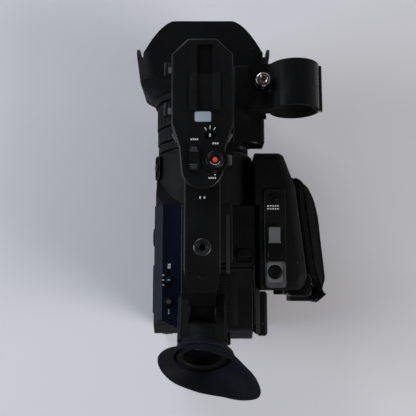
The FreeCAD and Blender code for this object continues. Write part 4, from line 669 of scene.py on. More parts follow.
class CAMCORDER_OT_covers(BuildStep, bpy.types.Operator):
    """Body covers, lens housing, terminal block and feet"""
    bl_idname = "camcorder.covers"
    bl_label = "Covers"

    def execute(self, context):
        shell = finish("shell")
        for name in ("base_cover", "rear_cover", "top_cover", "right_cover", "battery_bay", "terminal_block"):
            dress(name, shell, rim=True)
        dress("lens_housing", finish("housing"), rim=True)
        dress("left_cover", finish("panel"), rim=True)
        dress("rubber_feet", finish("rubber"), sizes().key_edge)
        self.louvres()
        self.side_vents()
        return {"FINISHED"}

    def louvres(self):
        """Cooling ribs on the top cover, right of the handle's neck."""
        top = span("top_cover")[1].z
        bars = [pad((17.6, -63.0 - 2.6 * number), (6.0, 1.3), top - 0.5, top + 0.9, edge=0.3)
                for number in range(14)]
        piece("cooling_ribs", gather(*bars), "chassis", finish("shell"))
        # The rail's lighter finish is a painted highlight along the cover's edge.
        rail = pad((21.9, -34.5), (3.2, 52.0), top - 0.5, top + 0.8, corner=0.8, edge=0.4)
        piece("top_rail", rail, "chassis", finish("rail"))

    def side_vents(self):
        """Grille over the fan on the left cover."""
        left = span("left_cover")[0].x
        slots = []
        for number in range(12):
            rear = -58.0 + 4.2 * number
            slots.append(block((left - 0.25, rear, 22.0), (left + 0.4, rear + 1.6, 34.0), edge=0.1))
        piece("side_grille", gather(*slots), "chassis", finish("key"))


class CAMCORDER_OT_handle(BuildStep, bpy.types.Operator):
    """Carrying handle, control head and accessory shoe"""
    bl_idname = "camcorder.handle"
    bl_label = "Handle and head"

    def execute(self, context):
        dress("handle_frame", finish("shell"), rim=True)
        dress("head_lower", finish("shell"), rim=True)
        dress("handle_cover", finish("handle"), 0.0004, cut=self.crown, segments=4, rim=True)
        self.head()
        dress("accessory_shoe", finish("anodised"), 0.0002)
        top = span("head_upper")[1].z
        inset = pad((0.5, 61.0), (12.9, 8.2), top - 0.75, top + 0.05, corner=1.3, edge=0.15)
        piece("inset_plate", inset, "chassis", finish("inset"))
        self.facets(top)
        self.marks(top)
        return {"FINISHED"}

    def crown(self, bm):
        """Round the handle's top a little across its width."""
        top = span("handle_cover")[1].z
        half, depth, drop = 14.4, 6.2, 0.9
        cut_lines(bm, "x", (-12.5, -10.5, -8.0, -5.0, -2.0, 2.0, 5.0, 8.0, 10.5, 12.5))
        for vert in bm.verts:
            rise = (vert.co.z / MM - (top - depth)) / depth
            if rise > 0.0:
                vert.co.z -= drop * MM * min(1.0, rise) * (vert.co.x / MM / half) ** 2

    def head(self):
        """Control head, with painted shade in the lead's groove and the shoe's bed."""
        low, high = span("accessory_shoe")
        middle, top = (low.x + high.x) / 2, span("head_upper")[1].z

        def painted_shade_in_groove(at, normal):
            behind_shoe = high.y < at.y < high.y + 25.0
            return 1 if abs(at.x - middle) < 6.6 and behind_shoe and at.z < top - 0.1 else 0
        dress("head_upper", [finish("handle"), finish("flock")], 0.0005, pick=painted_shade_in_groove, rim=True)
        bush = spun([(2.5, -0.6), (3.0, 0.0), (4.15, 0.0), (4.15, -4.0), (2.5, -4.0)], ORIGIN, "z", 48)
        mounts = {mount["name"]: mount for mount in frame["record"]["mounts"]}
        place = Vector(mounts["handle_socket"]["pos_m"]) + Vector((0.0, 0.0, -0.0012))
        piece("socket_bush", shifted(bush, Matrix.Translation(place)), "chassis", finish("socket"))

    def facets(self, top):
        """Slanted corner facets where the head widens, pale grey as a painted highlight."""
        parts = []
        for side in (-1, 1):
            facet = pad((side * 20.6, 46.6), (4.8, 7.0), top - 11.0, top - 6.2, corner=0.6, edge=0.8)
            parts.append(turned(facet, (side * 20.6, 46.6, top), "z", -side * 28.0))
        piece("head_facets", gather(*parts), "chassis", finish("grey_key"))

    def marks(self, top):
        """Plain ticks, dashes and dots round the head's keys."""
        parts = []
        for degrees in (-32, 0, 32):
            parts.append(turned(printed((6.1, 52.2), (0.55, 2.6), top), (6.1, 45.5, top), "z", degrees))
        for first, step, count, width in (((-8.6, 42.6), 1.6, 4, 1.1), ((8.6, 39.3), 1.7, 3, 1.2),
                                          ((5.4, 11.8), 1.6, 4, 1.0)):
            parts += printed_row(first, (step, 0.0), count, (width, 1.3), top)
        parts.append(turned(printed((9.9, 14.4), (1.1, 1.1), top), (9.9, 14.4, top), "z", 45))
        under = span("handle_cover")[1].z
        for x in (-1.7, 1.7):
            parts.append(pad((x, -2.6), (1.2, 2.0), under - 0.05, under + 0.05, corner=0.55, edge=0.0))
        piece("head_marks", gather(*parts), "chassis", finish("mark"))


class CAMCORDER_OT_keys(BuildStep, bpy.types.Operator):
    """Buttons, switches, rockers and dials"""
    bl_idname = "camcorder.keys"
    bl_label = "Keys"

    def execute(self, context):
        for name in ("user_button", "battery_release", "nd_switch", "handle_zoom_rocker", "hold_lever",
                     "focus_assist_button", "function_button", "thumb_button", "speed_switch",
                     "audio_slider"):
            dress(name, finish("key"), sizes().key_edge)
        self.record_dot()
        self.rocker_ridges()
        self.switch_marks()
        self.side_switch()
        self.menu_dial()
        self.diopter()
        return {"FINISHED"}

    def rocker_ridges(self):
        """Cross ridges at both ends of the handle's rocker."""
        high = span("handle_zoom_rocker")[1]
        x, y = plan_middle("handle_zoom_rocker")
        ridges = []
        for side in (-1, 1):
            for number in range(3):
                spot = y + side * (5.4 + 1.4 * number)
                ridges.append(pad((x, spot), (6.6 - number, 0.55), high.z - 1.0,
                                  high.z - 0.28 + 0.16 * number, corner=0.2, edge=0.1))
        piece("rocker_ridges", gather(*ridges), "handle_zoom_rocker", finish("grey_key"))

    def record_dot(self):
        """Dished button with a red dot and a row of ticks."""
        low, high = span("record_button")
        middle, radius, top = plan_middle("record_button"), (high.x - low.x) / 2, high.z
        outline = [(0.0, top - 0.85), (2.6, top - 0.80), (radius - 1.9, top - 0.50),
                   (radius - 1.5, top - 0.08), (radius - 1.1, top), (radius - 0.4, top - 0.15),
                   (radius, top - 0.6), (radius, low.z), (0.0, low.z)]
        cap = spun(outline, (*middle, 0.0), "z", 96, closed=False)
        piece("record_cap", cap, "record_button", finish("key"), ["record_button"], 50.0)
        dish = top - 0.78
        outline = [(0.0, dish - 0.2), (2.0, dish - 0.2), (2.0, dish + 0.12), (1.6, dish + 0.28),
                   (0.0, dish + 0.30)]
        dot = spun(outline, (*middle, dish), "z", 32, closed=False)
        piece("record_dot", dot, "record_button", finish("signal"))
        parts = []
        for degrees in range(-60, 61, 20):
            tick = pad((middle[0], middle[1] + 4.0), (0.8, 0.5), top - 0.65, top - 0.40, edge=0.0)
            parts.append(turned(tick, (*middle, dish), "z", degrees + 180))
        piece("record_ticks", gather(*parts), "record_button", finish("mark"))

    def switch_marks(self):
        """Lines on the small switches, a cap on the user button and ticks on the left shoulder."""
        for name, size, shade in (("speed_switch", (0.9, 2.4), "mark"), ("audio_slider", (2.2, 1.2), "blue")):
            top = span(name)[1].z
            line = pad(plan_middle(name), size, top - 0.2, top + 0.08, edge=0.05)
            piece(name + "_line", line, name, finish(shade))
        top = span("user_button")[1].z
        dimple = spun([(0.0, top + 0.02), (1.7, top + 0.10), (1.9, top - 0.1)],
                      (*plan_middle("user_button"), 0), "z", 32, closed=False)
        piece("user_button_cap", dimple, "user_button", finish("grey_key"))
        top = span("left_cover")[1].z
        ticks = []
        for first, step, size in (((-34.0, -69.8), 4.2, (1.6, 0.8)), ((-29.0, -55.2), 1.5, (2.6, 0.8)),
                                  ((-29.0, -91.0), -1.4, (0.8, 0.9))):
            ticks += printed_row(first, (0.0, step), 3, size, top)
        piece("left_marks", gather(*ticks), "chassis", finish("mark"))

    def side_switch(self):
        """Grey switch with grip ribs on its top."""
        low, high = span("side_switch")
        ribs = [block((low.x + 3.6, low.y, low.z), (high.x + 2.9, high.y, high.z + 0.6), corner=1.0,
                      edge=0.3)]
        for number in range(4):
            rear = low.y + 1.0 + 1.5 * number
            ribs.append(block((low.x + 3.9, rear, high.z + 0.4), (high.x + 2.6, rear + 0.7, high.z + 1.1)))
        dress("side_switch", finish("grey_key"), sizes().key_edge)
        piece("side_switch_ribs", gather(*ribs), "side_switch", finish("silver"))

    def wheel(self, name, dial, outline, radius, ribs, depth, ends):
        """Ribbed wheel that stands for a dial."""
        low, high = span(dial)
        middle = (low + high) / 2
        made = spun(outline, middle, "x", 4 * ribs, closed=False)
        grooved(made, middle, "x", ribs, depth, ends, radius)
        piece(name, made, dial, finish("key"), [dial], 28.0)

    def menu_dial(self):
        """Cupped wheel on the left side."""
        low, high = span("menu_dial")
        face, rim = low.x, 9.0
        outline = [(0.0, face + 0.8), (4.2, face + 0.8), (4.8, face), (rim - 0.9, face),
                   (rim - 0.2, face + 0.5), (rim, face + 1.1), (rim, face + 3.9), (rim - 0.4, face + 4.2),
                   (3.0, face + 4.2), (3.0, high.x), (0.0, high.x)]
        self.wheel("menu_dial_wheel", "menu_dial", outline, rim, 40, 0.45, (face + 0.9, face + 4.0))

    def diopter(self):
        """Small wheel on the viewfinder's side."""
        low, high = span("diopter_dial")
        outline = [(0.0, high.x), (4.1, high.x), (4.7, high.x - 0.4), (5.0, high.x - 0.8), (5.0, low.x + 0.2),
                   (4.6, low.x), (0.0, low.x)]
        self.wheel("diopter_wheel", "diopter_dial", outline, 5.0, 30, 0.35, (low.x + 0.1, high.x - 0.6))


class CAMCORDER_OT_lens(BuildStep, bpy.types.Operator):
    """Barrel, ribbed rings, front glass and hood"""
    bl_idname = "camcorder.lens"
    bl_label = "Lens"

    def execute(self, context):
        dress("lens_barrel", finish("anodised"), 0.0003)
        dress("lens_glass", finish("glass"), 0.0)
        paint("zoom_cell", finish("glass"))
        self.ring("focus_ring", sizes().focus_ribs, 1.1, 6, 2.6)
        self.ring("zoom_ring", sizes().zoom_ribs, 0.8, 4, 2.0)
        self.ring("iris_ring", sizes().iris_ribs, 0.7, 4, 1.5)
        self.hood()
        self.scale_marks()
        return {"FINISHED"}

    def ring(self, name, ribs, depth, steps_per_rib, margin):
        """Rubber ring with ribs between two plain rims."""
        low, high = span(name)
        radius = (high.z - low.z) / 2
        bore = BARREL_R + 0.1
        rear, front = low.y, high.y
        ys = [rear + margin, rear + margin + 0.35, rear + margin + 0.9]
        ys += [front - margin - 0.9, front - margin - 0.35, front - margin]
        outline = [(bore, rear), (radius - 0.8, rear), (radius - 0.2, rear + 0.3), (radius, rear + 0.9)]
        outline += [(radius, y) for y in ys]
        outline += [(radius, front - 0.9), (radius - 0.2, front - 0.3), (radius - 0.8, front), (bore, front)]
        centre = (0.0, 0.0, LENS_Z)
        body = spun(outline, centre, "y", ribs * steps_per_rib)
        grooved(body, centre, "y", ribs, depth, (ys[1] - 0.1, ys[4] + 0.1), radius)
        piece(name + "_sleeve", body, BODY_OF[name], finish("rubber"), [name], 25.0)

    def hood(self):
        """Hood with a light trap inside."""
        rear = span("lens_hood")[0].y

        def inner(at, normal):
            outward = Vector((at.x, 0.0, at.z - LENS_Z))
            return 1 if at.y > rear + 6.0 and normal.dot(outward) < -0.2 * outward.length else 0
        dress("lens_hood", [finish("hood"), finish("flock")], 0.0005, 32.0, inner, 34.0, cut=self.soften,
              rim=True)

    def soften(self, bm):
        """Round the front corners of the top and bottom petals."""
        corner, front = 27.0, 165.0
        chosen = []
        for edge in bm.edges:
            one, two = (vert.co / MM for vert in edge.verts)
            at_corner = all(abs(abs(at.x) - corner) < 0.6 and at.y > front for at in (one, two))
            if at_corner and abs(one.z - two.z) > 1.5:
                chosen.append(edge)
        round_edges(bm, chosen, 9.0 * MM, 8)

    def scale_marks(self):
        """Ticks round the barrel between the rings, every fifth one longer."""
        parts = []
        surface = LENS_Z + BARREL_R
        for number in range(40):
            tail = 0.6 if number % 5 == 0 else 0.35
            tick = block((-0.25, 58.95 - tail, surface + 0.05), (0.25, 60.6, surface + 0.22), edge=0.0)
            parts.append(turned(tick, (0.0, 0.0, LENS_Z), "y", 9.0 * number))
        piece("barrel_ticks", gather(*parts), "chassis", finish("mark"))


class CAMCORDER_OT_monitor(BuildStep, bpy.types.Operator):
    """Folding monitor and its silver hinges"""
    bl_idname = "camcorder.monitor"
    bl_label = "Monitor"

    def execute(self, context):
        low, high = span("monitor_panel")

        def screen(at, normal):
            near = low.x + 3.9 < at.x < high.x - 3.9 and low.y + 3.9 < at.y < high.y - 3.9
            return 1 if near and normal.z > 0.9 and at.z < high.z - 0.1 else 0
        dress("monitor_panel", [finish("shell"), finish("screen")], 0.0004, pick=screen, rim=True)
        for name in ("monitor_hinge", "monitor_arm"):
            dress(name, [finish("anodised"), finish("silver")], 0.0003, cut=self.knuckle_lines,
                  pick=self.knuckle)
        bars = [block((low.x - 0.35, y - 4.0, low.z + 2.4), (low.x + 0.5, y + 4.0, low.z + 3.2), edge=0.1)
                for y in (low.y + 12.0, (low.y + high.y) / 2, high.y - 12.0)]
        piece("monitor_edge_keys", gather(*bars), "monitor", finish("key"))
        return {"FINISHED"}

    def knuckle_lines(self, bm):
        """Part lines round the bright middle of each knuckle."""
        cut_lines(bm, "x", (KNUCKLE_EDGE,))
        cut_lines(bm, "y", [y + side * KNUCKLE_HALF for y in KNUCKLES for side in (-1, 1)])

    def knuckle(self, at, normal):
        """Bright where the knuckles are."""
        return 1 if at.x > KNUCKLE_EDGE and min(abs(at.y - y) for y in KNUCKLES) < KNUCKLE_HALF else 0


class CAMCORDER_OT_holder(BuildStep, bpy.types.Operator):
    """Audio block and microphone holder"""
    bl_idname = "camcorder.holder"
    bl_label = "Microphone holder"

    def execute(self, context):
        high = span("clamp_upper")[1]
        lower = span("clamp_lower")[0]
        reach = high.x - 2.8
        radius = high.z - (lower.z + high.z) / 2
        axis = Vector((reach - radius, 0.0, (lower.z + high.z) / 2))

        def liner(at, normal):
            return 1 if math.hypot(at.x - axis.x, at.z - axis.z) < radius - 3.05 else 0
        finishes = [finish("holder"), finish("rubber")]
        dress("clamp_upper", finishes, 0.0007, pick=liner, rim=True)
        dress("clamp_lower", finishes, 0.0005, pick=liner, rim=True)
        dress("audio_block", [finish("shell"), finish("socket")], 0.0005, pick=self.socket_part(), rim=True)
        self.knob()
        self.hook()
        paint("hinge_pins", finish("steel"))
        return {"FINISHED"}

    def socket_part(self):
        """Picks the faces of the round socket in the audio block's rear."""
        low, high = span("audio_block")
        inner_side, radius, depth = 25.4, 11.9, 40.0
        middle = Vector(((inner_side + high.x) / 2, 0.0, (low.z + high.z) / 2))

        def inside(at, normal):
            near = math.hypot(at.x - middle.x, at.z - middle.z) < radius
            return 1 if near and at.y < low.y + depth else 0
        return inside

    def knob(self):
        """Knurled nickel knob with a six-sided socket."""
        low, high = span("clamp_knob")
        middle = plan_middle("clamp_knob")
        top, under, radius = high.z, high.z - 9.0, 6.0
        outline = [(0.0, top - 2.6), (2.9, top - 2.6), (2.95, top - 0.3), (3.3, top), (radius - 1.3, top),
                   (radius - 0.5, top - 0.4), (radius, top - 1.2), (radius, top - 1.6), (radius, under + 1.0),
                   (radius, under + 0.6), (radius - 0.6, under), (2.0, under), (2.0, low.z), (0.0, low.z)]
        body = spun(outline, (*middle, 0.0), "z", 144, closed=False)
        for vert in body.verts:
            offset = Vector((vert.co.x / MM - middle[0], vert.co.y / MM - middle[1]))
            if 2.5 < offset.length < 3.1 and vert.co.z / MM > top - 2.7:
                turn = math.atan2(offset.y, offset.x) % (math.pi / 3) - math.pi / 6
                offset *= 2.7 / (offset.length * math.cos(turn))
                vert.co.x, vert.co.y = (middle[0] + offset.x) * MM, (middle[1] + offset.y) * MM
        grooved(body, (*middle, 0.0), "z", 36, 0.3, (under + 0.8, top - 1.4), radius)
        piece("clamp_screw_knob", body, "clamp_knob", finish("nickel"), ["clamp_knob"], 28.0)

    def hook(self):
        """Small cable hook behind the holder."""
        low = span("clamp_lower")[0]
        start = Matrix.Translation(Vector((53.0, low.y + 1.0, low.z + 12.0)) * MM)
        bend = bmesh.new()
        bmesh.ops.create_circle(bend, cap_ends=True, segments=16, radius=1.1 * MM,
                                matrix=start @ Matrix.Rotation(math.radians(90.0), 4, "X"))
        face = bend.faces[:][0]
        for back, rise, degrees in ((3.2, 0.0, 0.0), (1.4, 0.9, 40.0), (0.3, 1.6, 40.0), (-0.6, 2.2, 40.0)):
            grown = bmesh.ops.extrude_face_region(bend, geom=[face])
            verts = verts_of(grown)
            face = next(part for part in grown["geom"] if isinstance(part, bmesh.types.BMFace))
            bmesh.ops.translate(bend, verts=verts, vec=Vector((0.0, -back, rise)) * MM)
            if degrees:
                bmesh.ops.rotate(bend, verts=verts, cent=face.calc_center_median(),
                                 matrix=Matrix.Rotation(math.radians(-degrees), 3, "X"))
        bmesh.ops.recalc_face_normals(bend, faces=bend.faces)
        piece("cable_hook", bend, "chassis", finish("shell"), crisp=50.0)


class CAMCORDER_OT_grip(BuildStep, bpy.types.Operator):
    """Hand grip, its top plate and its rocker"""
    bl_idname = "camcorder.grip"
    bl_label = "Hand grip"

    def execute(self, context):
        dress("grip_shell", finish("rubber"), 0.0006)
        dress("grip_plate", finish("shell"), 0.0003, rim=True)
        low, high = span("grip_zoom_rocker")
        middle = plan_middle("grip_zoom_rocker")
        lengths, widths = (middle[1] + 0.6, high.y - 1.3), (low.x + 1.3, high.x - 1.3)

        def part_lines(bm):
            cut_lines(bm, "y", lengths)
            cut_lines(bm, "x", widths)

        def front(at, normal):
            inside = lengths[0] < at.y < lengths[1] and widths[0] < at.x < widths[1]
            return 1 if inside and normal.z > 0.3 and at.z > high.z - 2.6 else 0
        dress("grip_zoom_rocker", [finish("key"), finish("pale_key")], sizes().key_edge, pick=front,
              cut=part_lines)
        bar = pad(middle, (high.x - low.x - 1.2, 0.9), high.z - 1.6, high.z - 0.75)
        piece("rocker_line", bar, "grip_zoom_rocker", finish("pale_key"))
        top = span("grip_plate")[1].z
        self.rear_plate(top)
        self.pimples(top)
        return {"FINISHED"}


    def rear_plate(self, top):
        """Pale plate round the function button."""
        low, high = span("function_button")
        centre = plan_middle("function_button")
        plate_low, plate_high = span("grip_plate")
        middle = (plate_low.x + plate_high.x) / 2
        wide = self.collar(centre, (high.x - low.x + 4.0) / 2, (middle, centre[1] - 2.1),
                           ((plate_high.x - plate_low.x) / 2 - 0.9, 11.4), (top - 0.2, top + 0.35))
        piece("function_plate", wide, "chassis", finish("grey_key"))
        trim = self.collar(centre, (high.x - low.x + 1.6) / 2, (centre[0], centre[1] - 0.3), (6.7, 8.8),
                           (top + 0.1, top + 0.75))
        piece("function_trim", trim, "chassis", [finish("pale_key"), finish("key")],
              pick=lambda at, normal: 0 if normal.z > 0.9 else 1)

    def collar(self, hole_at, hole, middle, half, heights):
        """A rectangular plate with a round hole."""
        bm = bmesh.new()
        bmesh.ops.create_circle(bm, segments=48, radius=hole * MM,
                                matrix=Matrix.Translation(Vector((*hole_at, heights[1])) * MM))
        for vert in verts_of(bmesh.ops.extrude_edge_only(bm, edges=bm.edges[:])):
            offset = Vector((vert.co.x / MM - hole_at[0], vert.co.y / MM - hole_at[1])).normalized()
            power = (abs(offset.x / half[0]) ** 8 + abs(offset.y / half[1]) ** 8) ** (-1 / 8)
            vert.co.x, vert.co.y = (middle[0] + offset.x * power) * MM, (middle[1] + offset.y * power) * MM
        lower = verts_of(bmesh.ops.extrude_face_region(bm, geom=bm.faces[:]))
        bmesh.ops.translate(bm, verts=lower, vec=(0.0, 0.0, (heights[0] - heights[1]) * MM))
        bmesh.ops.recalc_face_normals(bm, faces=bm.faces)
        round_edges(bm, sharp_edges(bm, 60.0), 0.12 * MM)
        return bm

    def pimples(self, top):
        """Fine dots moulded in the plate's front, and two rows of dashes."""
        parts = []
        for row in range(7):
            for column in range(7):
                x = 57.0 + 1.9 * column + (0.95 if row % 2 else 0.0)
                y = -6.0 - 1.65 * row
                dot = bmesh.new()
                bmesh.ops.create_icosphere(dot, subdivisions=1, radius=0.42 * MM,
                                           matrix=Matrix.Translation(Vector((x, y, top)) * MM))
                parts.append(dot)
        dashes = printed_row((57.4, -0.6), (2.2, 0.0), 5, (1.5, 1.2), top)
        dashes += printed_row((57.4, -3.2), (2.2, 0.0), 5, (1.5, 1.2), top)
        piece("plate_marks", gather(*dashes), "chassis", finish("mark"))
        piece("plate_pimples", gather(*parts), "chassis", finish("shell"), crisp=60.0)


def smooth_line(points, count):
    """Points at even shares of a rounded line through the given points."""
    padded = [points[0]] + list(points) + [points[-1]]
    line = []
    for number in range(count + 1):
        share = number / count * (len(points) - 1)
        start = min(int(share), len(points) - 2)
        t = share - start
        a, b, c, d = (Vector(padded[start + offset]) for offset in range(4))
        line.append(0.5 * ((2 * b) + (c - a) * t + (2 * a - 5 * b + 4 * c - d) * t * t
                           + (3 * b - a - 3 * c + d) * t ** 3))
    return line


class CAMCORDER_OT_strap(BuildStep, bpy.types.Operator):
    """Padded hand strap with its webbing and buckle"""
    bl_idname = "camcorder.strap"
    bl_label = "Hand strap"

    def execute(self, context):
        low, high = span("hand_strap")
        self.lines = [smooth_line(points, 120) for points in (STRAP_LOW, STRAP_HIGH)]
        self.middle = (low.z + high.z) / 2
        self.half = (high.z - low.z) / 2
        cushion = self.band(self.half - 0.6, 5.4, 110, 22, 4, self.puffed, 0.0)
        strap = piece("strap_cushion", cushion, "chassis", finish("strap"), ["hand_strap"],
                      80.0)
        subdivided(strap, "Soft")
        webbing = self.band(12.5, 1.1, 110, 8, 1, self.flat, 3.3)
        piece("strap_webbing", webbing, "chassis", finish("webbing"), crisp=60.0)
        for name, height in (("upper", self.half - 1.0), ("lower", -self.half + 1.0)):
            edging = self.band(1.5, 4.6, 110, 4, 3, self.flat, 0.0, height)
            bound = piece("strap_binding_" + name, edging, "chassis", finish("webbing"),
                          crisp=70.0)
            subdivided(bound, "Round")
        self.stitches()
        self.buckle()
        post = block((75.9, -79.5, 66.0), (96.5, -60.0, 104.0), corner=4.0, edge=1.2)
        piece("strap_post", post, "chassis", finish("holder"))
        dress("strap_anchors", finish("shell"), 0.0006)
        self.knot()
        return {"FINISHED"}

    def knot(self):
        """Doubled end of the strap, gathered behind its post."""
        folds = []
        for x, y, width, length, degrees in ((98.5, -75.0, 5.5, 13.0, 12), (103.0, -77.0, 5.0, 11.0, -14),
                                             (107.0, -74.5, 5.0, 9.0, 24)):
            fold = pad((x, y), (width, length), 48.0, 90.0, corner=2.2, edge=1.6)
            long_edges = [edge for edge in fold.edges if edge.calc_length() > 12.0 * MM]
            bmesh.ops.subdivide_edges(fold, edges=long_edges, cuts=14, use_grid_fill=True)
            folds.append(turned(fold, (x, y, 0.0), "z", degrees))
        lump = gather(*folds)
        noise.seed_set(KNOT_SEED)
        for vert in lump.verts:
            swell = noise.noise_vector(vert.co / MM * 0.16)
            vert.co += Vector((swell.x, swell.y, swell.z)) * 1.1 * MM
        piece("strap_tail", lump, "chassis", finish("strap"), crisp=60.0)

    def at(self, share, level):
        """Place and outward direction on the leaning strap; level runs from its lower to its upper edge."""
        spot = min(max(share, 0.0), 1.0) * (len(self.lines[0]) - 1)
        start = min(int(spot), len(self.lines[0]) - 2)
        rise = (level + 1) / 2
        first, second = (self.lines[0][start + step].lerp(self.lines[1][start + step], rise)
                         for step in (0, 1))
        ahead = (second - first).normalized()
        return first.lerp(second, spot - start), Vector((-ahead.y, ahead.x))

    def seat(self, share, height, reach):
        """Where a small piece sits on the strap, a reach out from its line."""
        place, outward = self.at(share, height / self.half)
        spot = Vector((*(place + outward * reach), self.middle + height)) * MM
        turn = math.atan2(outward.y, outward.x) - math.pi / 2
        return Matrix.Translation(spot) @ Matrix.Rotation(turn, 4, "Z")

    def flat(self, share, height, through):
        """No fold, and full thickness."""
        return 0.0, 1.0

    def puffed(self, share, height, through):
        """Fold and fullness of the cushion."""
        depth = sizes().strap_fold / MM
        place = Vector((share * 9.0, height * 1.6, through * 0.3))
        fold = noise.noise(place) * depth
        fold += math.sin(share * 95.0 + 2.2 * height + 3.0 * noise.noise(place * 0.7)) * 0.30 * depth
        pull = math.exp(-((share - 0.97) / 0.05) ** 2) + 0.7 * math.exp(-((share - 0.04) / 0.05) ** 2)
        fold += pull * 1.1 * math.sin(height * 9.0 + 3.0 * share)
        full = 1.0 - 0.55 * abs(height) ** 5
        seam = 0.28 * math.exp(-((abs(height) - 0.80) / 0.05) ** 2)
        return fold, full - seam - 0.25 * pull

    def band(self, half, thick, along, across, through, shape, offset, height=0.0):
        """A strip that follows the strap's line, with its own map in metres."""
        bm = bmesh.new()
        bmesh.ops.create_cube(bm, size=1.0)
        for axis, cuts in ((0, along), (2, across), (1, through)):
            if cuts > 1:
                bmesh.ops.subdivide_edges(bm, edges=edges_along(bm, axis), cuts=cuts - 1, use_grid_fill=True)
        length = sum((b - a).length for a, b in zip(self.lines[0], self.lines[0][1:]))
        layer = bm.loops.layers.uv.new("UVMap")
        for face in bm.faces:
            for loop in face.loops:
                co = loop.vert.co
                loop[layer].uv = ((co.x + 0.5) * length * MM, (co.z * 2 * half + co.y * thick) * MM)
        for vert in bm.verts:
            share, level, side = vert.co.x + 0.5, vert.co.z * 2, vert.co.y * 2
            place, outward = self.at(share, (height + level * half) / self.half)
            fold, full = shape(share, level, side)
            reach = offset + fold + side * thick / 2 * full
            vert.co = Vector((place.x + outward.x * reach, place.y + outward.y * reach,
                              self.middle + height + level * half * (1.0 - 0.02 * abs(side)))) * MM
        bmesh.ops.recalc_face_normals(bm, faces=bm.faces)
        return bm

    def stitches(self):
        """Rows of thread along both edges of the webbing and of the cushion."""
        parts = []
        count = 58
        size = Matrix.Diagonal((1.5 * MM, 0.4 * MM, 0.4 * MM, 1.0))
        for height, reach in ((-11.2, 4.0), (11.2, 4.0), (-19.6, 2.2), (19.6, 2.2), (-19.6, -2.2),
                              (19.6, -2.2)):
            for number in range(count):
                share = 0.04 + 0.92 * (number + 0.5) / count
                thread = bmesh.new()
                bmesh.ops.create_cube(thread, size=1.0, matrix=size)
                parts.append(shifted(thread, self.seat(share, height, reach)))
        piece("strap_stitches", gather(*parts), "chassis", finish("rubber"), crisp=30.0)

    def buckle(self):
        """Ladder buckle that the webbing goes through at the rear."""
        bars = [block((-1.3, -1.2, -15.0), (1.3, 1.2, 15.0), edge=0.5)]
        bars += [block((-5.0, -1.0, z - 1.3), (5.0, 1.0, z + 1.3), edge=0.5) for z in (-14.0, 14.0)]
        bars += [block((x - 1.1, -1.0, -14.0), (x + 1.1, 1.0, 14.0), edge=0.5) for x in (-5.0, 5.0)]
        ladder = shifted(gather(*bars), self.seat(0.93, 0.0, 4.6))
        piece("strap_buckle", ladder, "chassis", finish("key"))


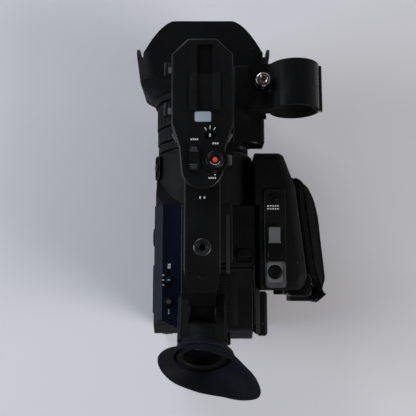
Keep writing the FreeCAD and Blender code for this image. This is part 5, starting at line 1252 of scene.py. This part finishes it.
class CAMCORDER_OT_viewfinder(BuildStep, bpy.types.Operator):
    """Viewfinder tube, eyepiece and eyecup"""
    bl_idname = "camcorder.viewfinder"
    bl_label = "Viewfinder"

    def execute(self, context):
        hinge = JOINT_AT["viewfinder_tilt"] * MM
        self.place = Matrix.Translation(hinge) @ Matrix.Rotation(EVF_TILT, 4, "X")
        dress("evf_body", finish("housing"), 0.0006, rim=True)
        self.hinge_cover(hinge)
        self.eyepiece()
        self.eyecup()
        return {"FINISHED"}

    def hinge_cover(self, hinge):
        """Round shield on the neck's end, its rims pale grey as a painted highlight, and plates that close the
        tube.
        """
        half, reach = 10.3, 13.2
        shield = spun([(8.1, -half), (reach - 0.4, -half), (reach, -half + 0.4), (reach, half - 0.4),
                       (reach - 0.4, half), (8.1, half)], ORIGIN, "x", 128)
        cut_plane(shield, ORIGIN, (0.0, -0.35, 1.0), clear=True)
        piece("hinge_shield", shifted(shield, Matrix.Translation(hinge)), "chassis", finish("handle"),
              crisp=40.0)
        rims = []
        for x in (-half, half):
            rim = spun([(reach - 0.3, x - 0.25), (reach + 0.1, x - 0.25), (reach + 0.1, x + 0.25),
                        (reach - 0.3, x + 0.25)], ORIGIN, "x", 96)
            cut_plane(rim, ORIGIN, (0.0, 0.9, 1.0), clear=True)
            rims.append(rim)
        piece("shield_rims", shifted(gather(*rims), Matrix.Translation(hinge)), "chassis", finish("grey_key"))
        plates = []
        for side in (-1, 1):
            low, high = sorted((side * 14.0, side * 15.1))
            plates.append(block((-9.5, -33.4, low), (9.5, -19.6, high), edge=0.3))
            ramp = block((-9.5, -4.9, -0.6), (9.5, 4.9, 0.6), edge=0.3)
            turned(ramp, ORIGIN, "x", -43.2 * side)
            plates.append(shifted(ramp, Matrix.Translation(Vector((0.0, -17.0, 12.0 * side)) * MM)))
        piece("tube_plates", shifted(gather(*plates), self.place), "viewfinder", finish("housing"))

    def eyepiece(self):
        """Eyepiece glass, its ring, and the small display behind it."""
        lens = spun([(0.0, -36.6), (5.0, -36.3), (10.0, -35.4), (15.0, -34.0), (15.6, -33.6), (15.6, -32.2),
                     (15.0, -32.0), (0.0, -32.0)], ORIGIN, "y", 72, closed=False)
        piece("eyepiece_glass", shifted(lens, self.place), "viewfinder", finish("glass"),
              ["eyepiece_lens"], 30.0)
        back = spun([(0.0, -20.0), (15.8, -20.0)], ORIGIN, "y", 64, closed=False)
        piece("display_mask", shifted(back, self.place), "viewfinder", finish("flock"))
        screen = block((-7.2, -20.6, -4.2), (7.2, -20.1, 4.2), edge=0.1)
        piece("display", shifted(screen, self.place), "viewfinder", finish("screen"))
        retainer = spun([(15.9, -38.6), (15.2, -40.6), (16.2, -42.0), (17.0, -42.3), (19.3, -42.3),
                         (20.2, -41.7), (20.45, -40.6), (20.45, -38.6)], ORIGIN, "y", 96)
        piece("eyepiece_ring", shifted(retainer, self.place), "viewfinder", finish("rubber"),
              crisp=30.0)

    def rim(self, angle):
        """Reach of the cup's rim at an angle, smoothed between its corners."""
        polar = sorted((math.atan2(z, x) % (2 * math.pi), math.hypot(x, z)) for x, z in CUP_RIM)
        turn = 2 * math.pi
        around = [(a - turn, r) for a, r in polar[-2:]] + polar + [(a + turn, r) for a, r in polar[:2]]
        for number in range(1, len(around) - 2):
            (a0, r0), (a1, r1), (a2, r2), (a3, r3) = around[number - 1:number + 3]
            if a1 <= angle < a2:
                t = (angle - a1) / (a2 - a1)
                m1 = (r2 - r0) / (a2 - a0) * (a2 - a1)
                m2 = (r3 - r1) / (a3 - a1) * (a2 - a1)
                return ((2 * t ** 3 - 3 * t ** 2 + 1) * r1 + (t ** 3 - 2 * t ** 2 + t) * m1
                        + (-2 * t ** 3 + 3 * t ** 2) * r2 + (t ** 3 - t ** 2) * m2)
        return around[2][1]

    def eyecup(self):
        """Soft cup: a bellows at the collar that flares into a lobed, leaning rim."""
        bm = bmesh.new()
        made = bmesh.ops.create_circle(bm, segments=96, radius=20.0 * MM,
                                       matrix=Matrix.Rotation(math.radians(90.0), 4, "X"))
        loop_edges, verts = bm.edges[:], made["verts"]
        bellows = [(-36.4, 20.0), (-36.2, 21.6), (-38.6, 22.3), (-39.6, 24.0), (-40.6, 24.8), (-41.6, 24.2),
                   (-42.0, 22.8)]
        rows = [(0.0, depth, radius) for depth, radius in bellows]
        rows += [(share, *bellows[-1]) for share in (0.10, 0.22, 0.36, 0.52, 0.68, 0.84, 0.95, 1.0)]
        for number, (share, depth, radius) in enumerate(rows):
            if number:
                grown = bmesh.ops.extrude_edge_only(bm, edges=loop_edges)
                verts = verts_of(grown)
                loop_edges = [part for part in grown["geom"] if isinstance(part, bmesh.types.BMEdge)]
            for vert in verts:
                angle = math.atan2(vert.co.z, vert.co.x) % (2 * math.pi)
                reach, y = radius, depth
                if share:
                    far = self.rim(angle)
                    end = -52.5 - 0.20 * far * math.cos(angle) + 0.24 * far * math.sin(angle)
                    reach += (far - radius) * share + max(0.0, 5.0 * (share - 0.9))
                    y += (end - depth) * share ** 1.25
                vert.co = Vector((math.cos(angle) * reach, y, math.sin(angle) * reach)) * MM
        bmesh.ops.recalc_face_normals(bm, faces=bm.faces)
        cup = piece("eyecup_shell", shifted(bm, self.place), "viewfinder", finish("cup"),
                    ["eyecup"], 80.0)
        wall = cup.modifiers.new("Wall", "SOLIDIFY")
        wall.thickness = 0.0016
        wall.offset = 0.0
        subdivided(cup, "Soft")


class CAMCORDER_OT_battery(BuildStep, bpy.types.Operator):
    """Battery with its slats"""
    bl_idname = "camcorder.battery"
    bl_label = "Battery"

    def execute(self, context):
        dress("battery_pack", finish("battery"), 0.0012, rim=True)
        low, high = span("battery_pack")
        rise, run = 14.0, 9.0
        slope = math.degrees(math.atan2(rise, run))
        parts = []
        for number in range(6):
            share = (number + 0.8) / 7.0
            y, z = low.y + run * share, high.z - rise * (1.0 - share)
            bar = block((low.x + 3.0, y - 0.55, z - 0.3), (high.x - 12.0, y + 0.55, z + 0.55), edge=0.2)
            parts.append(turned(bar, (0.0, y, z), "x", slope))
        # The slats' lighter finish is a painted highlight on their ridges.
        piece("battery_slats", gather(*parts), "battery", finish("rail"))
        middle = plan_middle("battery_pack")
        panel = pad((middle[0] - 5.5, middle[1] + 3.0), (high.x - low.x - 16.0, 44.0), high.z - 0.3,
                    high.z + 0.35, corner=1.0, edge=0.2)
        piece("battery_top_panel", panel, "battery", finish("battery"))
        grips = []
        for number in range(6):
            under = low.z + 12.0 + 3.0 * number
            grips.append(block((low.x + 8.0, low.y - 0.4, under), (high.x - 8.0, low.y + 0.3, under + 1.4),
                               edge=0.25))
        piece("battery_grip_ribs", gather(*grips), "battery", finish("battery"))
        return {"FINISHED"}


class CAMCORDER_OT_sockets(BuildStep, bpy.types.Operator):
    """Rear sockets, card door and fasteners"""
    bl_idname = "camcorder.sockets"
    bl_label = "Sockets and fasteners"

    def execute(self, context):
        dress("rear_sockets", finish("socket"), 0.0003)
        dress("card_door", finish("panel"), 0.0002)
        for name, level in (("screws", 150.0), ("threaded_inserts", 100.0)):
            dress(name, [finish("steel"), finish("socket")], 0.0002,
                  pick=lambda at, normal, level=level: 1 if at.z > level else 0)
        self.door_trim()
        return {"FINISHED"}

    def door_trim(self):
        """Finger dent and a plain line on the card door."""
        low, high = span("card_door")
        middle = (low.y + high.y) / 2
        dent = block((low.x - 0.1, middle - 7.0, high.z - 9.0), (low.x + 0.3, middle + 7.0, high.z - 5.0),
                     corner=1.9, axis="x", edge=0.1)
        lines = []
        for number in range(5):
            under = low.z + 6.0 + 2.2 * number
            lines.append(block((low.x - 0.08, low.y + 6.0, under), (low.x + 0.2, high.y - 6.0, under + 0.8),
                               edge=0.05))
        piece("card_door_trim", gather(dent, *lines), "card_door", finish("key"))


class CAMCORDER_OT_inside(BuildStep, bpy.types.Operator):
    """Finishes of the parts inside the body"""
    bl_idname = "camcorder.inside"
    bl_label = "Inside"

    def execute(self, context):
        for name, shade in (("main_board", "board"), ("cooling_unit", "aluminium"), ("fan_rotor", "key"),
                            ("sensor_unit", "aluminium")):
            paint(name, finish(shade))
        return {"FINISHED"}


STEPS = (CAMCORDER_OT_stage, CAMCORDER_OT_covers, CAMCORDER_OT_handle, CAMCORDER_OT_keys, CAMCORDER_OT_lens,
         CAMCORDER_OT_monitor, CAMCORDER_OT_holder, CAMCORDER_OT_grip, CAMCORDER_OT_strap,
         CAMCORDER_OT_viewfinder, CAMCORDER_OT_battery, CAMCORDER_OT_sockets, CAMCORDER_OT_inside)
SETTINGS = {"camcorder_sizes": CamcorderSizes, "camcorder_colours": CamcorderColours,
            "camcorder_stage": CamcorderStage}


class CAMCORDER_PT_panel(bpy.types.Panel):
    """Sidebar panel of the camcorder"""
    bl_idname = "CAMCORDER_PT_panel"
    bl_label = "Camcorder"
    bl_space_type = "VIEW_3D"
    bl_region_type = "UI"
    bl_category = "Camcorder"

    def draw(self, context):
        for step in STEPS:
            self.layout.operator(step.bl_idname)
        for name, group in SETTINGS.items():
            box = self.layout.box()
            for setting in group.__annotations__:
                box.prop(getattr(context.scene, name), setting)


def register():
    for group in SETTINGS.values():
        bpy.utils.register_class(group)
    for name, group in SETTINGS.items():
        setattr(bpy.types.Scene, name, PointerProperty(type=group))
    for made in STEPS + (CAMCORDER_PT_panel,):
        bpy.utils.register_class(made)


def unregister():
    for made in reversed(STEPS + (CAMCORDER_PT_panel,)):
        bpy.utils.unregister_class(made)
    for name, group in SETTINGS.items():
        delattr(bpy.types.Scene, name)
        bpy.utils.unregister_class(group)


def main():
    register()
    for step in STEPS:
        family, name = step.bl_idname.split(".")
        getattr(getattr(bpy.ops, family), name)()


if __name__ == "__main__":
    main()
